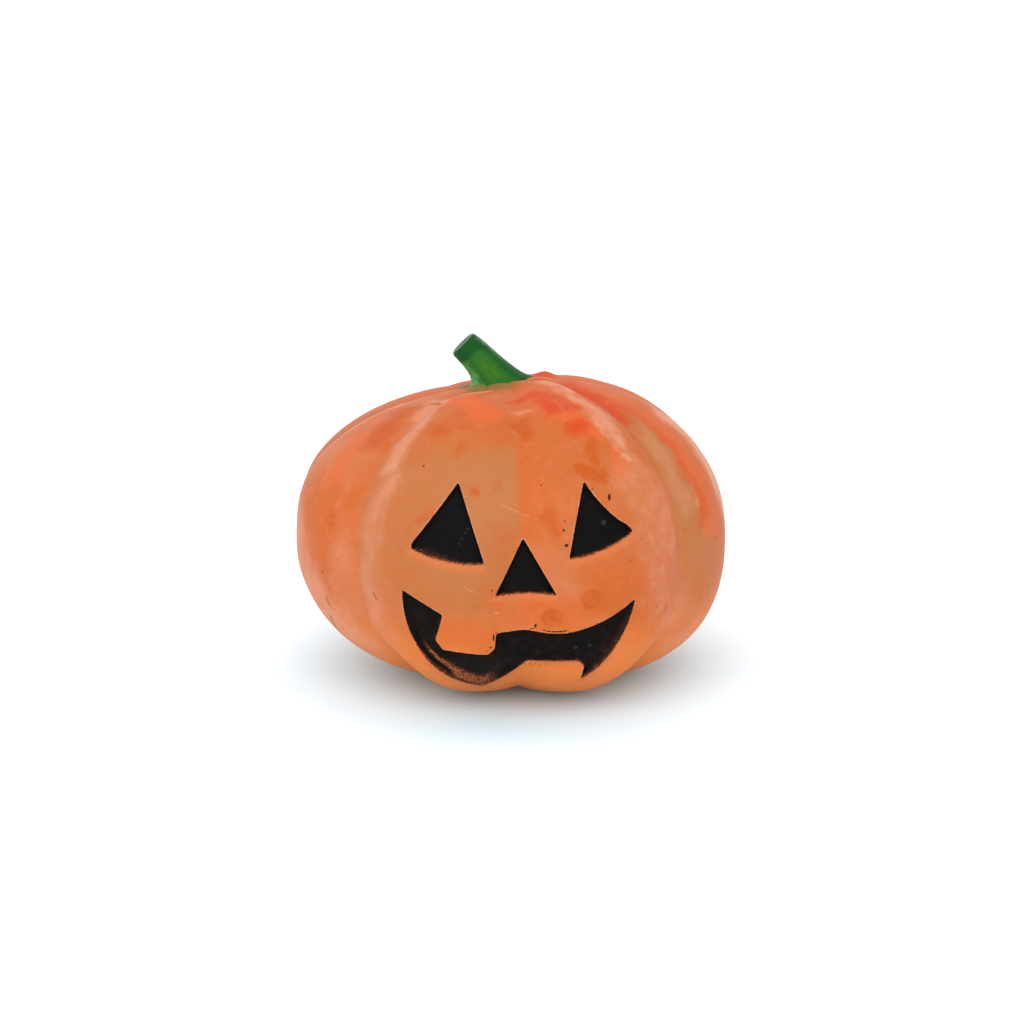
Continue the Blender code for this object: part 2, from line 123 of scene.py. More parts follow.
# Paint: strokes of each colour, as points the brush passed, its radius and its strength; the
# peach strokes are partly painted highlight
STROKES = {
    "red": [
        ([(-0.6, -19.9, 60.4), (2.0, -21.0, 60.6)], 1.5, 0.9),
        ([(5.4, -24.4, 59.7), (6.3, -27.0, 58.4)], 2.1, 1.0),
        ([(3.8, -19.4, 61.0), (8.5, -22.9, 60.1), (9.4, -25.0, 59.2)], 2.4, 0.85),
        ([(10.5, -31.0, 56.0), (11.9, -29.6, 56.7)], 2.2, 1.0),
        ([(13.1, -15.4, 61.3), (17.1, -20.0, 59.2), (20.2, -20.6, 57.6)], 2.7, 1.0),
        ([(18.6, -18.8, 58.8)], 3.0, 1.0),
        ([(10.5, -4.0, 62.8), (12.4, -11.0, 62.8), (17.0, -15.5, 60.8)], 2.8, 0.9),
        ([(8.0, 2.5, 62.8)], 2.6, 0.9),
        ([(22.0, -17.0, 58.0), (26.4, -18.8, 56.4), (31.0, -21.6, 52.4), (33.4, -23.6, 48.4),
          (35.8, -24.8, 43.4), (37.6, -24.6, 38.9), (37.2, -25.8, 36.8)], 2.1, 0.52),
        ([(14.0, 10.0, 61.5), (20.0, 16.0, 58.5)], 4.5, 0.7),
        ([(-9.0, 17.0, 59.8), (-2.0, 24.0, 59.2)], 4.0, 0.6),
        ([(-0.5, -6.6, 62.4), (5.5, -4.5, 63.0)], 1.8, 0.8),
    ],
    "coral": [
        ([(-9.6, -19.5, 60.0), (-7.7, -22.8, 59.3), (-6.0, -26.0, 58.4)], 3.4, 1.0),
        ([(-11.6, -11.0, 60.6), (-8.6, -15.5, 60.6)], 2.2, 0.7),
        ([(5.6, -26.0, 59.0), (11.5, -29.0, 57.0), (14.0, -30.6, 55.4)], 2.7, 0.85),
        ([(13.6, -33.0, 54.4), (12.6, -36.4, 51.3)], 1.5, 0.35),
        ([(18.2, -33.0, 52.2), (19.6, -35.6, 48.8)], 2.3, 0.6),
        ([(-32.0, -17.0, 51.8), (-35.1, -21.5, 47.4)], 4.2, 0.55),
        ([(-26.5, -8.0, 57.0), (-30.5, -13.0, 54.0)], 2.8, 0.5),
        ([(-37.0, -24.0, 40.0), (-38.0, -24.5, 32.0)], 5.0, 0.25),
        ([(9.0, -8.0, 62.2), (22.0, -12.0, 58.8), (30.0, -12.0, 56.0)], 3.2, 0.5),
        ([(27.0, -16.6, 56.6), (32.6, -19.6, 52.4), (36.4, -21.8, 46.6), (39.0, -22.4, 40.0),
          (39.6, -23.2, 35.6)], 4.0, 0.52),
        ([(1.5, -42.6, 45.5), (6.0, -42.0, 44.0)], 4.5, 0.28),
        ([(-15.0, -42.5, 20.0), (-7.0, -44.5, 17.5)], 4.0, 0.45),
        ([(-3.0, -45.0, 24.6), (9.0, -44.5, 24.0)], 4.5, 0.45),
        ([(3.0, -44.0, 10.0), (10.0, -43.0, 9.6)], 3.0, 0.4),
        ([(14.0, -43.0, 31.0), (22.0, -40.0, 30.0)], 5.0, 0.3),
        ([(25.0, 20.0, 52.0), (30.0, 26.0, 42.0)], 6.0, 0.5),
        ([(-26.0, 22.0, 50.0), (-30.0, 28.0, 40.0)], 6.0, 0.45),
    ],
    "amber": [
        ([(5.4, -44.3, 22.9)], 1.9, 1.0),
        ([(12.7, -43.9, 26.3)], 1.9, 0.62),
        ([(17.2, -42.4, 25.4)], 0.9, 0.4),
        ([(-5.8, -40.0, 48.4)], 1.5, 0.42),
        ([(-9.9, -40.8, 46.5)], 1.4, 0.78),
        ([(13.3, -33.4, 54.0), (12.7, -36.0, 51.8)], 1.7, 0.9),
        ([(10.6, -38.4, 49.6), (14.6, -37.6, 49.3)], 1.7, 0.9),
        ([(5.2, -42.9, 42.0), (6.2, -43.7, 39.4)], 2.0, 0.72),
        ([(7.4, -41.4, 45.4)], 1.3, 0.5),
        ([(7.0, -42.4, 43.2)], 1.0, 0.4),
        ([(3.0, -44.2, 37.6)], 1.3, 0.5),
        ([(-16.3, -39.9, 45.0)], 0.9, 0.9),
        ([(-17.2, -40.2, 43.6), (-20.8, -40.0, 38.8)], 1.4, 0.55),
        ([(-14.3, -28.5, 55.6)], 2.0, 0.75),
        ([(-11.6, -33.4, 53.6), (-12.4, -34.6, 52.0)], 1.3, 0.6),
        ([(-9.1, -29.6, 56.3)], 1.6, 0.5),
        ([(-11.4, -25.0, 57.8)], 2.4, 0.55),
        ([(0.5, -29.0, 57.2), (1.4, -31.6, 55.4)], 1.9, 0.8),
        ([(-22.1, -9.0, 58.4), (-25.4, -16.4, 55.8), (-27.4, -20.6, 52.4)], 3.4, 0.85),
        ([(-28.6, -25.4, 47.0)], 3.0, 0.4),
        ([(-36.6, -26.4, 38.4)], 1.0, 0.55),
        ([(-41.3, -17.9, 40.4), (-41.8, -18.4, 35.0)], 1.6, 0.35),
        ([(-18.6, -37.9, 46.4)], 0.9, 0.35),
        ([(-25.6, -37.0, 38.7)], 0.6, 0.4),
        ([(-9.0, -44.8, 32.6)], 1.1, 0.5),
        ([(-8.4, -44.6, 25.0)], 1.5, 0.35),
        ([(-1.4, -43.8, 40.0), (-4.6, -44.6, 36.0)], 2.4, 0.45),
        ([(-2.2, -44.6, 24.4), (-4.0, -44.8, 26.4)], 1.0, 0.3),
        ([(-4.6, -44.2, 39.0), (-5.6, -44.8, 27.4)], 3.6, 0.42),
        ([(22.8, -25.1, 54.6)], 1.1, 0.6),
        ([(33.8, -29.4, 36.0)], 0.9, 0.55),
        ([(22.0, -20.0, 57.2), (24.0, -22.6, 54.6)], 1.8, 0.55),
        ([(-31.4, -28.6, 19.3), (-33.4, -28.6, 27.0)], 3.6, 0.4),
        ([(36.0, -28.0, 24.0), (34.0, -27.0, 16.0)], 4.5, 0.4),
        ([(2.7, -13.3, 62.0), (7.0, -8.0, 62.0)], 2.4, 0.7),
        ([(-5.0, -8.4, 61.0), (0.0, -9.0, 61.4)], 2.4, 0.75),
        ([(30.0, 30.0, 30.0)], 7.0, 0.4),
        ([(-20.0, 38.0, 35.0)], 6.0, 0.4),
        ([(8.0, 42.0, 40.0)], 5.0, 0.4),
    ],
    # Peach strokes: partly pale paint, partly painted highlight on the crests, shoulders and
    # outer edges
    "peach_and_highlight": [
        ([(6.6, -12.0, 63.4), (12.4, -21.6, 61.1), (17.4, -27.4, 57.0), (20.0, -30.8, 53.2)],
         2.4, 0.62),
        ([(15.6, -27.4, 57.0), (18.7, -31.6, 53.2)], 1.7, 0.6),
        ([(21.1, -33.1, 50.7)], 1.3, 0.75),
        ([(22.0, -33.0, 49.6), (26.0, -33.4, 42.6), (28.4, -33.6, 34.0)], 3.6, 0.36),
        ([(-1.6, -24.0, 59.4), (2.2, -26.4, 58.6)], 0.8, 0.45),
        ([(-21.0, -9.0, 59.0), (-24.3, -3.0, 58.2), (-31.0, -4.0, 54.6), (-38.0, -6.0, 48.0),
          (-42.0, -9.0, 41.0)], 2.0, 0.6),
        ([(-16.0, -14.0, 60.4), (-20.0, -23.0, 56.8), (-24.6, -30.0, 50.6)], 3.6, 0.54),
        ([(-27.4, -34.0, 44.0), (-29.4, -34.0, 34.0), (-28.4, -33.0, 20.0)], 3.4, 0.34),
        ([(-32.0, -24.0, 9.0), (-36.0, -22.0, 16.0), (-40.0, -18.0, 24.0), (-43.0, -12.0, 34.0)],
         7.0, 0.52),
        ([(-34.0, -27.6, 32.0), (-33.0, -27.6, 20.0)], 4.6, 0.4),
        ([(34.0, -22.0, 11.0), (32.0, -31.0, 20.0)], 7.0, 0.36),
        ([(24.5, -22.6, 55.0), (30.5, -27.0, 47.0), (33.0, -29.0, 41.0)], 2.6, 0.3),
        ([(22.0, -36.0, 46.0), (26.0, -36.0, 38.0), (27.0, -35.0, 25.0)], 6.5, 0.34),
        ([(-24.4, -33.0, 47.0), (-27.4, -34.6, 40.0)], 2.8, 0.4),
        ([(-6.2, -13.0, 61.2), (-10.6, -14.0, 60.8), (-14.0, -13.0, 60.2)], 2.0, 0.85),
        ([(31.0, -10.0, 55.8), (38.4, -12.0, 49.4), (41.8, -14.2, 43.1), (43.6, -13.0, 36.0)],
         4.2, 0.78),
        ([(34.4, -24.4, 45.0), (35.6, -26.6, 40.6)], 1.0, 0.5),
        ([(44.6, -8.0, 36.0), (44.6, -9.0, 26.0)], 2.6, 0.4),
        ([(-27.2, -34.6, 24.0), (-25.0, -33.4, 17.0)], 1.9, 0.35),
        ([(-38.4, -22.0, 40.2)], 0.7, 0.6),
        ([(-5.0, -44.4, 23.4)], 0.5, 0.7),
    ],
}
# Zones of thin tan paint: strength, then degrees round from the face and heights at which
# each starts, is full, fades and ends
ANY_HEIGHT = (-2.0, -1.0, 98.0, 99.0)
TAN_ZONES = [
    (0.9, (43, 46, 52.5, 56.5), (30, 40, 56, 61)),
    (0.62, (43, 46, 56, 72), (8, 26, 31, 41)),
    (0.35, (-60, -50, -46, -44), (-2, -1, 20, 30)),
    (0.30, (1, 10, 34, 44), (26, 34, 50, 60)),
    (0.5, (135, 140, 176, 180), ANY_HEIGHT),
    (0.4, (226, 230, 250, 262), ANY_HEIGHT),
]
# Spots with a darker rim: x, y, z and the rim's radius
RING_SPOTS = [(-36.6, -26.4, 38.4, 1.0), (12.7, -43.9, 26.3, 1.7), (5.4, -44.3, 22.9, 1.8)]

# Chips and flecks of black: x, z, half width, half height
FLECKS = [
    (16.4, 45.0, 0.30, 0.62), (7.9, 36.9, 0.38, 0.32), (7.4, 39.7, 0.20, 0.26),
    (7.6, 41.3, 0.14, 0.16), (13.1, 46.6, 0.18, 0.14), (-5.65, 18.9, 0.20, 0.85),
    (-6.2, 16.6, 0.32, 0.18), (-6.9, 15.7, 0.15, 0.12), (-5.2, 20.1, 0.22, 0.12),
    (2.2, 21.3, 0.26, 0.40), (1.6, 20.7, 0.5, 0.09), (3.9, 20.35, 0.32, 0.14),
    (4.7, 20.1, 0.50, 0.15), (5.8, 19.98, 0.70, 0.16), (6.9, 19.98, 0.80, 0.17),
    (7.9, 20.1, 0.35, 0.18), (14.0, 21.2, 0.1, 0.12), (22.9, 36.8, 0.12, 0.12),
    (20.3, 33.0, 0.12, 0.12), (3.4, 47.6, 0.12, 0.14), (0.6, 12.2, 0.14, 0.12),
    (1.6, 12.1, 0.16, 0.14), (2.6, 12.3, 0.18, 0.10), (2.0, 11.4, 0.12, 0.10),
    (3.4, 11.9, 0.12, 0.12), (4.4, 12.3, 0.16, 0.09), (-6.0, 28.6, 0.14, 0.2),
]
# Rubbed marks on the enamel, likewise
ENAMEL_MARKS = [
    (15.2, 40.5, 0.50, 0.45), (-10.4, 39.9, 0.35, 0.10), (-10.9, 39.2, 0.12, 0.30),
    (-11.5, 38.1, 0.10, 0.35), (-12.0, 37.1, 0.10, 0.25), (12.9, 16.2, 0.35, 0.30),
    (10.2, 15.9, 0.40, 0.30), (-15.5, 21.0, 0.20, 0.20),
]
# Fine dark dashes where the skin is crazed or the seam shows: ends and half width
DASHES = [
    ((-16.9, -12.6, 59.9), (-15.0, -13.0, 60.3), 0.15),
    ((-15.7, -12.9, 60.1), (-15.2, -13.0, 60.2), 0.20),
    ((-19.8, -13.2, 58.9), (-18.4, -12.9, 59.4), 0.08),
    ((-28.4, -35.0, 25.8), (-27.6, -35.2, 24.6), 0.10),
    ((-38.1, -23.1, 22.0), (-37.6, -23.0, 20.2), 0.14),
    ((-18.6, -35.0, 50.6), (-18.4, -35.0, 50.3), 0.16),
    ((-38.9, -24.5, 27.6), (-38.7, -24.5, 27.3), 0.13),
    ((-37.4, -19.8, 17.2), (-36.6, -17.2, 14.2), 0.26),
    ((-36.6, -17.2, 14.2), (-34.6, -15.6, 10.8), 0.2),
    ((40.3, -22.3, 33.2), (40.3, -22.3, 32.8), 0.15),
    ((28.6, -33.9, 22.4), (28.2, -33.7, 20.4), 0.07),
    ((5.9, -0.9, 63.4), (6.2, -0.9, 63.4), 0.30),
    ((-43.2, 0.0, 42.6), (-41.6, 0.0, 45.9), 0.15),
    ((-41.6, 0.0, 45.9), (-39.4, 0.0, 49.4), 0.15),
]
SCRATCHES = [
    ((-4.2, -43.2, 44.6), (1.0, -43.0, 42.0), 0.06),
    ((-2.0, -43.4, 43.0), (2.6, -43.4, 41.6), 0.05),
    ((-11.0, -43.0, 29.4), (-9.0, -43.6, 28.2), 0.06),
]

# Minor colours: on the skin, on the enamel and on the stem
OVERSPRAY, DIRT, STAIN = (0.16, 0.13, 0.035), (0.035, 0.012, 0.006), (0.11, 0.026, 0.008)
# The colour below is a painted highlight on the lips under the face recesses' lower edges
LOWER_EDGE_HIGHLIGHT = (0.56, 0.140, 0.045)
BROWNED_FLOOR, BROWNED_EDGE = (0.050, 0.018, 0.010), (0.060, 0.019, 0.010)
RUBBED_THROUGH, SCUFF = (0.33, 0.096, 0.036), (0.05, 0.05, 0.05)
OLIVE, SMEAR = (0.045, 0.135, 0.006), (0.17, 0.10, 0.02)
# The second colour is a painted highlight on the stem's end rim and along its right edge
WORN_HEEL, PAINTED_RIM_HIGHLIGHT = (0.085, 0.17, 0.075), (0.24, 0.32, 0.22)

# Stem: left edge x and z, right edge x and z, half depth
STEM_EDGES = [
    (-8.9, 59.8, 7.6, 61.6, 5.6), (-8.5, 61.1, 6.4, 63.1, 5.0), (-8.35, 61.4, 3.9, 63.8, 4.6),
    (-8.2, 61.9, 2.0, 64.7, 4.3), (-8.15, 62.6, -0.7, 66.8, 4.0),
    (-8.6, 64.0, -2.7, 68.5, 3.7), (-9.8, 65.6, -4.65, 70.3, 3.5),
    (-11.0, 66.9, -6.4, 71.7, 3.3), (-11.7, 67.6, -7.1, 72.1, 3.1),
]
STEM_BACKWARD = 2.4                     # how far the tip leans away from the face
STEM_END_ROUNDING = 1.0
STEM_SIDES, STEM_RINGS = 96, 110
STEM_RIDGES, STEM_RIDGE_HEIGHT = 5, 0.055
DISC_RADIUS, VENT_RADIUS, DISC_BOTTOM, DISC_TOP = 9.0, 3.5, 1.2, 2.9

# Stage
CAMERA_AZIMUTH, CAMERA_ELEVATION = -3.46, 11.58
CAMERA_DISTANCE, CAMERA_LENS = 320.0, 52.1
CAMERA_AIM = (0.45, 0.0, 34.15)
FLOOR_SIZE = 6000.0
FLOOR_NEAR, FLOOR_FAR = (0.66, 0.90, 1.0), (0.90, 0.93, 0.95)
FLOOR_TINT_REACH = (22.0, 75.0)         # from the near colour to the far one
WORLD_STRENGTH = 1.15
SUN_STRENGTH, SUN_SPREAD = 1.7, 80.0
SUN_AZIMUTH, SUN_ELEVATION = -14.0, 30.0


# ---- Settings -------------------------------------------------------------------------

def colour_setting(name, description, default):
    return bpy.props.FloatVectorProperty(name=name, description=description, size=3,
                                         subtype="COLOR", min=0.0, max=1.0, default=default)


class PumpkinSizes(bpy.types.PropertyGroup):
    """Sizes that change the figure's surface."""
    recess_depth: bpy.props.FloatProperty(
        name="Recess depth", description="Depth of the eyes, nose and mouth",
        default=RECESS_DEPTH * MM, min=0.0, max=0.003, unit="LENGTH")
    enamel_film: bpy.props.FloatProperty(
        name="Enamel film", description="Thickness of the black layer in the recesses",
        default=ENAMEL_FILM * MM, min=0.00002, max=0.0006, unit="LENGTH")
    unevenness: bpy.props.FloatProperty(
        name="Unevenness", description="How far the cast skin strays from its form",
        default=0.12 * MM, min=0.0, max=0.001, unit="LENGTH")


class PumpkinColours(bpy.types.PropertyGroup):
    """Colours of the paint, enamel and clay."""
    orange: colour_setting("Orange", "Main sprayed colour", (0.445, 0.108, 0.024))
    tan: colour_setting("Tan", "Thin paint over the clay", (0.375, 0.136, 0.045))
    # Peach is partly the paint's pale bloom, partly painted highlight on the crests and
    # shoulders
    peach_and_highlight: colour_setting("Peach", "Pale bloom on the crests", (0.640, 0.320, 0.215))
    coral: colour_setting("Coral", "Soft red of the crown", (0.565, 0.100, 0.022))
    red: colour_setting("Red", "Heavy red passes", (0.490, 0.048, 0.008))
    amber: colour_setting("Amber", "Spots of thicker orange", (0.420, 0.062, 0.003))
    # Lightens the lower body: partly the paint's clearer orange, partly painted light that
    # offsets the shade near the floor
    painted_glow: colour_setting("Glow", "Clear orange near the base", (0.730, 0.200, 0.037))
    green: colour_setting("Green", "Stem", (0.014, 0.098, 0.010))
    # Light green also serves as painted highlight down the stem's left side
    light_green_and_highlight: colour_setting("Light green", "Thin brush marks", (0.075, 0.230, 0.062))
    # Dark green also serves as painted shade down the stem's right side
    green_dark: colour_setting("Dark green", "Foot and end of the stem",
                               (0.002, 0.052, 0.008))
    black: colour_setting("Black", "Enamel of the face", (0.0036, 0.0032, 0.0031))
    clay: colour_setting("Clay", "Unpainted base", (0.60, 0.47, 0.36))


# ---- Body form ------------------------------------------------------------------------

def smooth(value, low, high):
    share = np.clip((value - low) / (high - low), 0.0, 1.0)
    return share * share * (3 - 2 * share)


def band(value, start, full, fade, end):
    """0 outside start to end, 1 between full and fade."""
    return smooth(value, start, full) * (1 - smooth(value, fade, end))


def groove_share(azimuth):
    """Depth of the nearest groove as a share of the radius, with a rounded bottom."""
    place = azimuth / LOBE
    at_face = np.round(place) % LOBES == 0
    soft = np.where(at_face, FACE_GROOVE_SOFTNESS, LOBE_GROOVE_SOFTNESS)
    depth = np.where(at_face, FACE_GROOVE, LOBE_GROOVE)
    across = (np.sin(math.pi * place) ** 2 + soft ** 2) / (1 + soft ** 2)
    return depth * (1.0 - across ** (GROOVE_SHARPNESS / 2))


def body_form(azimuth, polar, wall=0.0, base_wall=0.0, softening=1.0):
    """Points of the body, in millimetres, for arrays of angles in radians."""
    side = np.sin(azimuth)
    above = np.cos(polar) > 0
    power = np.where(above, CROWN_SQUARENESS + CROWN_LEAN * side,
                     BASE_SQUARENESS + BASE_LEAN * side)
    across, up = np.abs(np.sin(polar)), np.abs(np.cos(polar))
    reach = (across ** power + up ** power) ** (-1.0 / power)
    width, height = across * reach, up * reach
    groove = softening * groove_share(azimuth) * width ** GROOVE_FADE
    groove = groove * np.where(above, 1.0, 1 + BASE_DEEPENING * band(up, 0.4, 0.8, 0.93, 0.98))
    radius = (BODY_RADIUS - wall) * width * (1.0 - groove)
    full = np.where(above, CROWN_RISE - wall, -(BASE_DROP - base_wall))
    z = BELLY_HEIGHT + full * height * (1.0 - GROOVE_RISE * groove)
    x, y = radius * side, -radius * np.cos(azimuth)
    crown_dip = CROWN_DIP * np.exp(-(radius / CROWN_DIP_RADIUS) ** 2)
    base_dip = BASE_DIP * np.exp(-(radius / BASE_DIP_RADIUS) ** 2)
    z = z + np.where(above, CROWN_SLOPE * x * height - crown_dip, base_dip)
    x = x + np.where(above, CROWN_SHIFT, BASE_SHIFT) * height ** SHIFT_CURVE
    return np.stack([x, y, np.maximum(z, 0.0)], -1)


def hand_waver(points):
    """Slow unevenness of a hand-finished casting, from -1 to 1."""
    x, y, z = points[..., 0], points[..., 1], points[..., 2]
    return (np.sin(x * 0.19 + 1.1) * np.sin(z * 0.23 + y * 0.11)
            + 0.6 * np.sin(x * 0.41 - z * 0.33 + 0.7) * np.sin(y * 0.37 + 2.0)) / 1.6


# ---- Face outlines --------------------------------------------------------------------

def bowed_outline(corners):
    """Closely spaced points along an outline, with its corners slightly rounded."""
    points = []
    for (x, z, bow), (next_x, next_z, _) in zip(corners, corners[1:] + corners[:1]):
        run, rise = next_x - x, next_z - z
        length = math.hypot(run, rise)
        steps = max(2, round(length / EDGE_STEP))
        for step in range(steps):
            t = step / steps
            out = 4 * bow * t * (1 - t) / length
            points.append((x + run * t - rise * out, z + rise * t + run * out))
    points = np.array(points)
    for _ in range(CORNER_ROUNDING):
        around = np.roll(points, 1, 0) + np.roll(points, -1, 0)
        points = (2 * points + around) / 4
    return points


OUTLINES = {name: bowed_outline(corners) for name, corners in FACE.items()}


def outline_distance(places, outline):
    """Signed distance to one outline, below zero inside, and how much it faces down."""
    start, end = outline, np.roll(outline, -1, 0)
    run = end - start
    length = np.hypot(run[:, 0], run[:, 1])
    down = np.clip(-run[:, 0] / length, 0.0, 1.0)
    best = np.full(len(places), np.inf)
    lower = np.zeros(len(places))
    inside = np.zeros(len(places), bool)
    for (sx, sz), (ex, ez), (rx, rz), size, facing in zip(start, end, run, length, down):
        dx, dz = places[:, 0] - sx, places[:, 1] - sz
        along = np.clip((dx * rx + dz * rz) / size ** 2, 0.0, 1.0)
        away = np.hypot(dx - along * rx, dz - along * rz)
        closer = away < best
        best = np.where(closer, away, best)
        lower = np.where(closer, facing, lower)
        crosses = (places[:, 1] < sz) != (places[:, 1] < ez)
        if rz != 0:
            inside ^= crosses & (dx < rx * dz / rz)
    return np.where(inside, -best, best), lower


def face_distance(points):
    """Distance to the nearest face outline and how much that edge faces down."""
    flat = points.reshape(-1, 3)
    distance = np.full(len(flat), FACE_LIMIT)
    lower = np.zeros(len(flat))
    low, high = FACE_LEFT - FACE_LIMIT, FACE_RIGHT + FACE_LIMIT
    near = (flat[:, 1] < FACE_BACK) & (flat[:, 0] > low) & (flat[:, 0] < high)
    places = flat[near][:, [0, 2]]
    for outline in OUTLINES.values():
        away, facing = outline_distance(places, outline)
        closer = away < distance[near]
        distance[near] = np.where(closer, away, distance[near])
        lower[near] = np.where(closer, facing, lower[near])
    shape = points.shape[:-1]
    return distance.reshape(shape), lower.reshape(shape)


def recess_depth(distance, lower, depth):
    """How deep the skin is sunk at a distance inside an outline."""
    wall = STEEP_WALL + (SLOPED_WALL - STEEP_WALL) * lower
    return depth * smooth(-distance / wall, 0.0, 1.0)


# ---- Meshes ---------------------------------------------------------------------------

def angle_stops(start, stops):
    """Angles in radians from start through the stops, at each stretch's own step."""
    angles = [start]
    for end, step in stops:
        count = max(1, round(abs(end - angles[-1]) / step))
        angles += list(np.linspace(angles[-1], end, count + 1)[1:])
    return np.radians(angles)


def grid_normals(points):
    along = np.gradient(points, axis=1)
    down = np.gradient(points, axis=0)
    normal = np.cross(down, along)
    return normal / np.maximum(np.linalg.norm(normal, axis=-1, keepdims=True), 1e-9)


def grid_faces(first, rows, columns):
    corner = first + np.arange(rows * columns).reshape(rows, columns)
    quads = [corner[:-1, :-1], corner[:-1, 1:], corner[1:, 1:], corner[1:, :-1]]
    return np.stack(quads, -1).reshape(-1, 4).tolist(), corner


def ring_faces(rings, sides, closed=False):
    """Quads between rings of points; closed also joins the last ring to the first."""
    faces = []
    for ring in range(rings if closed else rings - 1):
        here, ahead = ring * sides, (ring + 1) % rings * sides
        for side in range(sides):
            beside = (side + 1) % sides
            faces.append((here + side, here + beside, ahead + beside, ahead + side))
    return faces


def stitch(first, second, first_at, second_at):
    """Triangles that close the strip between two rows of different lengths."""
    faces, i, j = [], 0, 0
    while i < len(first) - 1 or j < len(second) - 1:
        end_first = i == len(first) - 1
        end_second = j == len(second) - 1
        if end_second or (not end_first and first_at[i + 1] <= second_at[j + 1]):
            faces.append((int(first[i]), int(first[i + 1]), int(second[j])))
            i += 1
        else:
            faces.append((int(first[i]), int(second[j + 1]), int(second[j])))
            j += 1
    return faces


def new_piece(name, vertices, faces, slot, *nodes, attributes=None):
    """A closed, smooth-shaded piece that stands for CAD nodes and rides on the root."""
    mesh = bpy.data.meshes.new(name)
    mesh.from_pydata((np.asarray(vertices) * MM).tolist(), [], faces)
    for key, values in (attributes or {}).items():
        layer = mesh.attributes.new(key, "FLOAT", "POINT")
        layer.data.foreach_set("value", np.ascontiguousarray(values, np.float32))
    bm = bmesh.new()
    bm.from_mesh(mesh)
    bmesh.ops.recalc_face_normals(bm, faces=bm.faces)
    bm.to_mesh(mesh)
    bm.free()
    mesh.shade_smooth()
    piece = bpy.data.objects.new(name, mesh)
    bpy.context.scene.collection.objects.link(piece)
    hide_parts(*nodes)
    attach(piece, "root")
    return piece


def sharpen(piece, angle):
    piece.data.set_sharp_from_angle(angle=math.radians(angle))


# ---- Shells ---------------------------------------------------------------------------

def stroke_distance(points, path):
    """Distance from each point to a path of straight stretches."""
    nearest = np.full(points.shape[:-1], np.inf)
    ends = [np.array(place) for place in path]
    for first, last in zip(ends, ends[1:] or ends):
        run = last - first
        along = ((points - first) @ run) / max(run @ run, 1e-6)
        place = first + np.clip(along, 0.0, 1.0)[..., None] * run
        nearest = np.minimum(nearest, np.linalg.norm(points - place, axis=-1))
    return nearest


def wander(points):
    """The points moved about a little, so that round strokes get uneven outlines."""
    x, y, z = np.moveaxis(points, -1, 0)
    moved = [1.1 * np.sin(0.55 * b + 1.9 * np.sin(0.31 * c) + phase)
             + 0.55 * np.sin(1.35 * c + 2.3 * np.sin(0.8 * a) + 2 * phase)
             + 0.3 * np.sin(3.1 * b + 1.7 * np.sin(2.2 * c) + 3 * phase)
             for a, b, c, phase in ((x, y, z, 0.4), (y, z, x, 2.1), (z, x, y, 4.4))]
    return points + 0.62 * np.stack(moved, -1)


def stroke_weight(points, strokes):
    weight = np.zeros(points.shape[:-1])
    for path, radius, strength in strokes:
        away = stroke_distance(points, path) / radius
        weight = np.maximum(weight, strength * (1 - smooth(away, 0.2, 1.6)))
    return weight


def paint_layers(points, azimuth):
    """Per-point weights of the colours that the shell's finish mixes."""
    x, y, z = points[..., 0], points[..., 1], points[..., 2]
    degrees = np.degrees(azimuth) * np.ones_like(x)
    moved = wander(points)
    layers = {name: stroke_weight(moved, strokes) for name, strokes in STROKES.items()}
    tan = 0.95 * band(degrees, -46, -43, -2.9, 1.3) * band(z, 8, 34, 50, 58)
    tan = tan * (0.55 + 0.45 * smooth(degrees, -40, -8))
    for strength, around, heights in TAN_ZONES:
        tan += strength * band(degrees, *around) * band(z, *heights)
    layers["tan"] = np.clip(tan, 0.0, 1.0)
    crown = smooth(z, 55.5, 60.5) * np.where(degrees > 0, 0.42, 0.20)
    crown = np.where(y > 0, np.maximum(crown, 0.5 * smooth(z, 53, 60)), crown)
    layers["coral"] = np.maximum(layers["coral"], crown)
    # lighter towards the base: partly clearer paint, partly painted light against the shade near
    # the floor
    layers["painted_glow"] = smooth(-z, -32, -2)
    rings = np.zeros_like(x)
    for ring_x, ring_y, ring_z, radius in RING_SPOTS:
        away = stroke_distance(points, [(ring_x, ring_y, ring_z)])
        rings = np.maximum(rings, np.exp(-((away - radius) / 0.25) ** 2))
    layers["ring"] = rings
    away_from_stem = np.hypot(x + 2.0, 0.9 * y)
    green = (1 - smooth(away_from_stem, 7.4, 10.4)) * (z > BELLY_HEIGHT)
    layers["green"] = green * smooth(-x, -6.0, 3.5)
    return layers


def sunk_skin(azimuth, polar, sizes):
    """The outside of the body with its unevenness, its lump and the face sunk in."""
    skin = body_form(azimuth, polar)
    normal = grid_normals(skin)
    distance, lower = face_distance(skin)
    lift = sizes.unevenness / MM * hand_waver(skin) * smooth(skin[..., 2], 1.0, 6.0)
    bump_x, bump_y = BUMP_PLACE
    from_bump = np.hypot(skin[..., 0] - bump_x, skin[..., 1] - bump_y) / BUMP_RADIUS
    lift = lift + BUMP_HEIGHT * np.exp(-from_bump ** 2) * (skin[..., 2] > BELLY_HEIGHT)
    reach = np.hypot(skin[..., 0], skin[..., 1])
    upper = skin[..., 2] > BELLY_HEIGHT
    from_middle = np.abs(np.degrees(azimuth))
    rise = np.where(azimuth > 0, band(reach, *SHOULDER_REACH["right"]),
                    LEFT_SHOULDER * band(reach, *SHOULDER_REACH["left"]))
    lift = lift + SHOULDER * band(from_middle, *SHOULDER_DEGREES) * upper * rise
    lift = lift + COLLAR * upper * (1 - smooth(reach, *COLLAR_REACH))
    foot = band(from_middle, *FOOT_DEGREES)
    lift = lift + FULL_FOOT * foot * band(skin[..., 2], *FOOT_HEIGHTS)
    lift = lift - recess_depth(distance, lower, sizes.recess_depth / MM)
    return skin + normal * lift[..., None], skin, normal, distance, lower


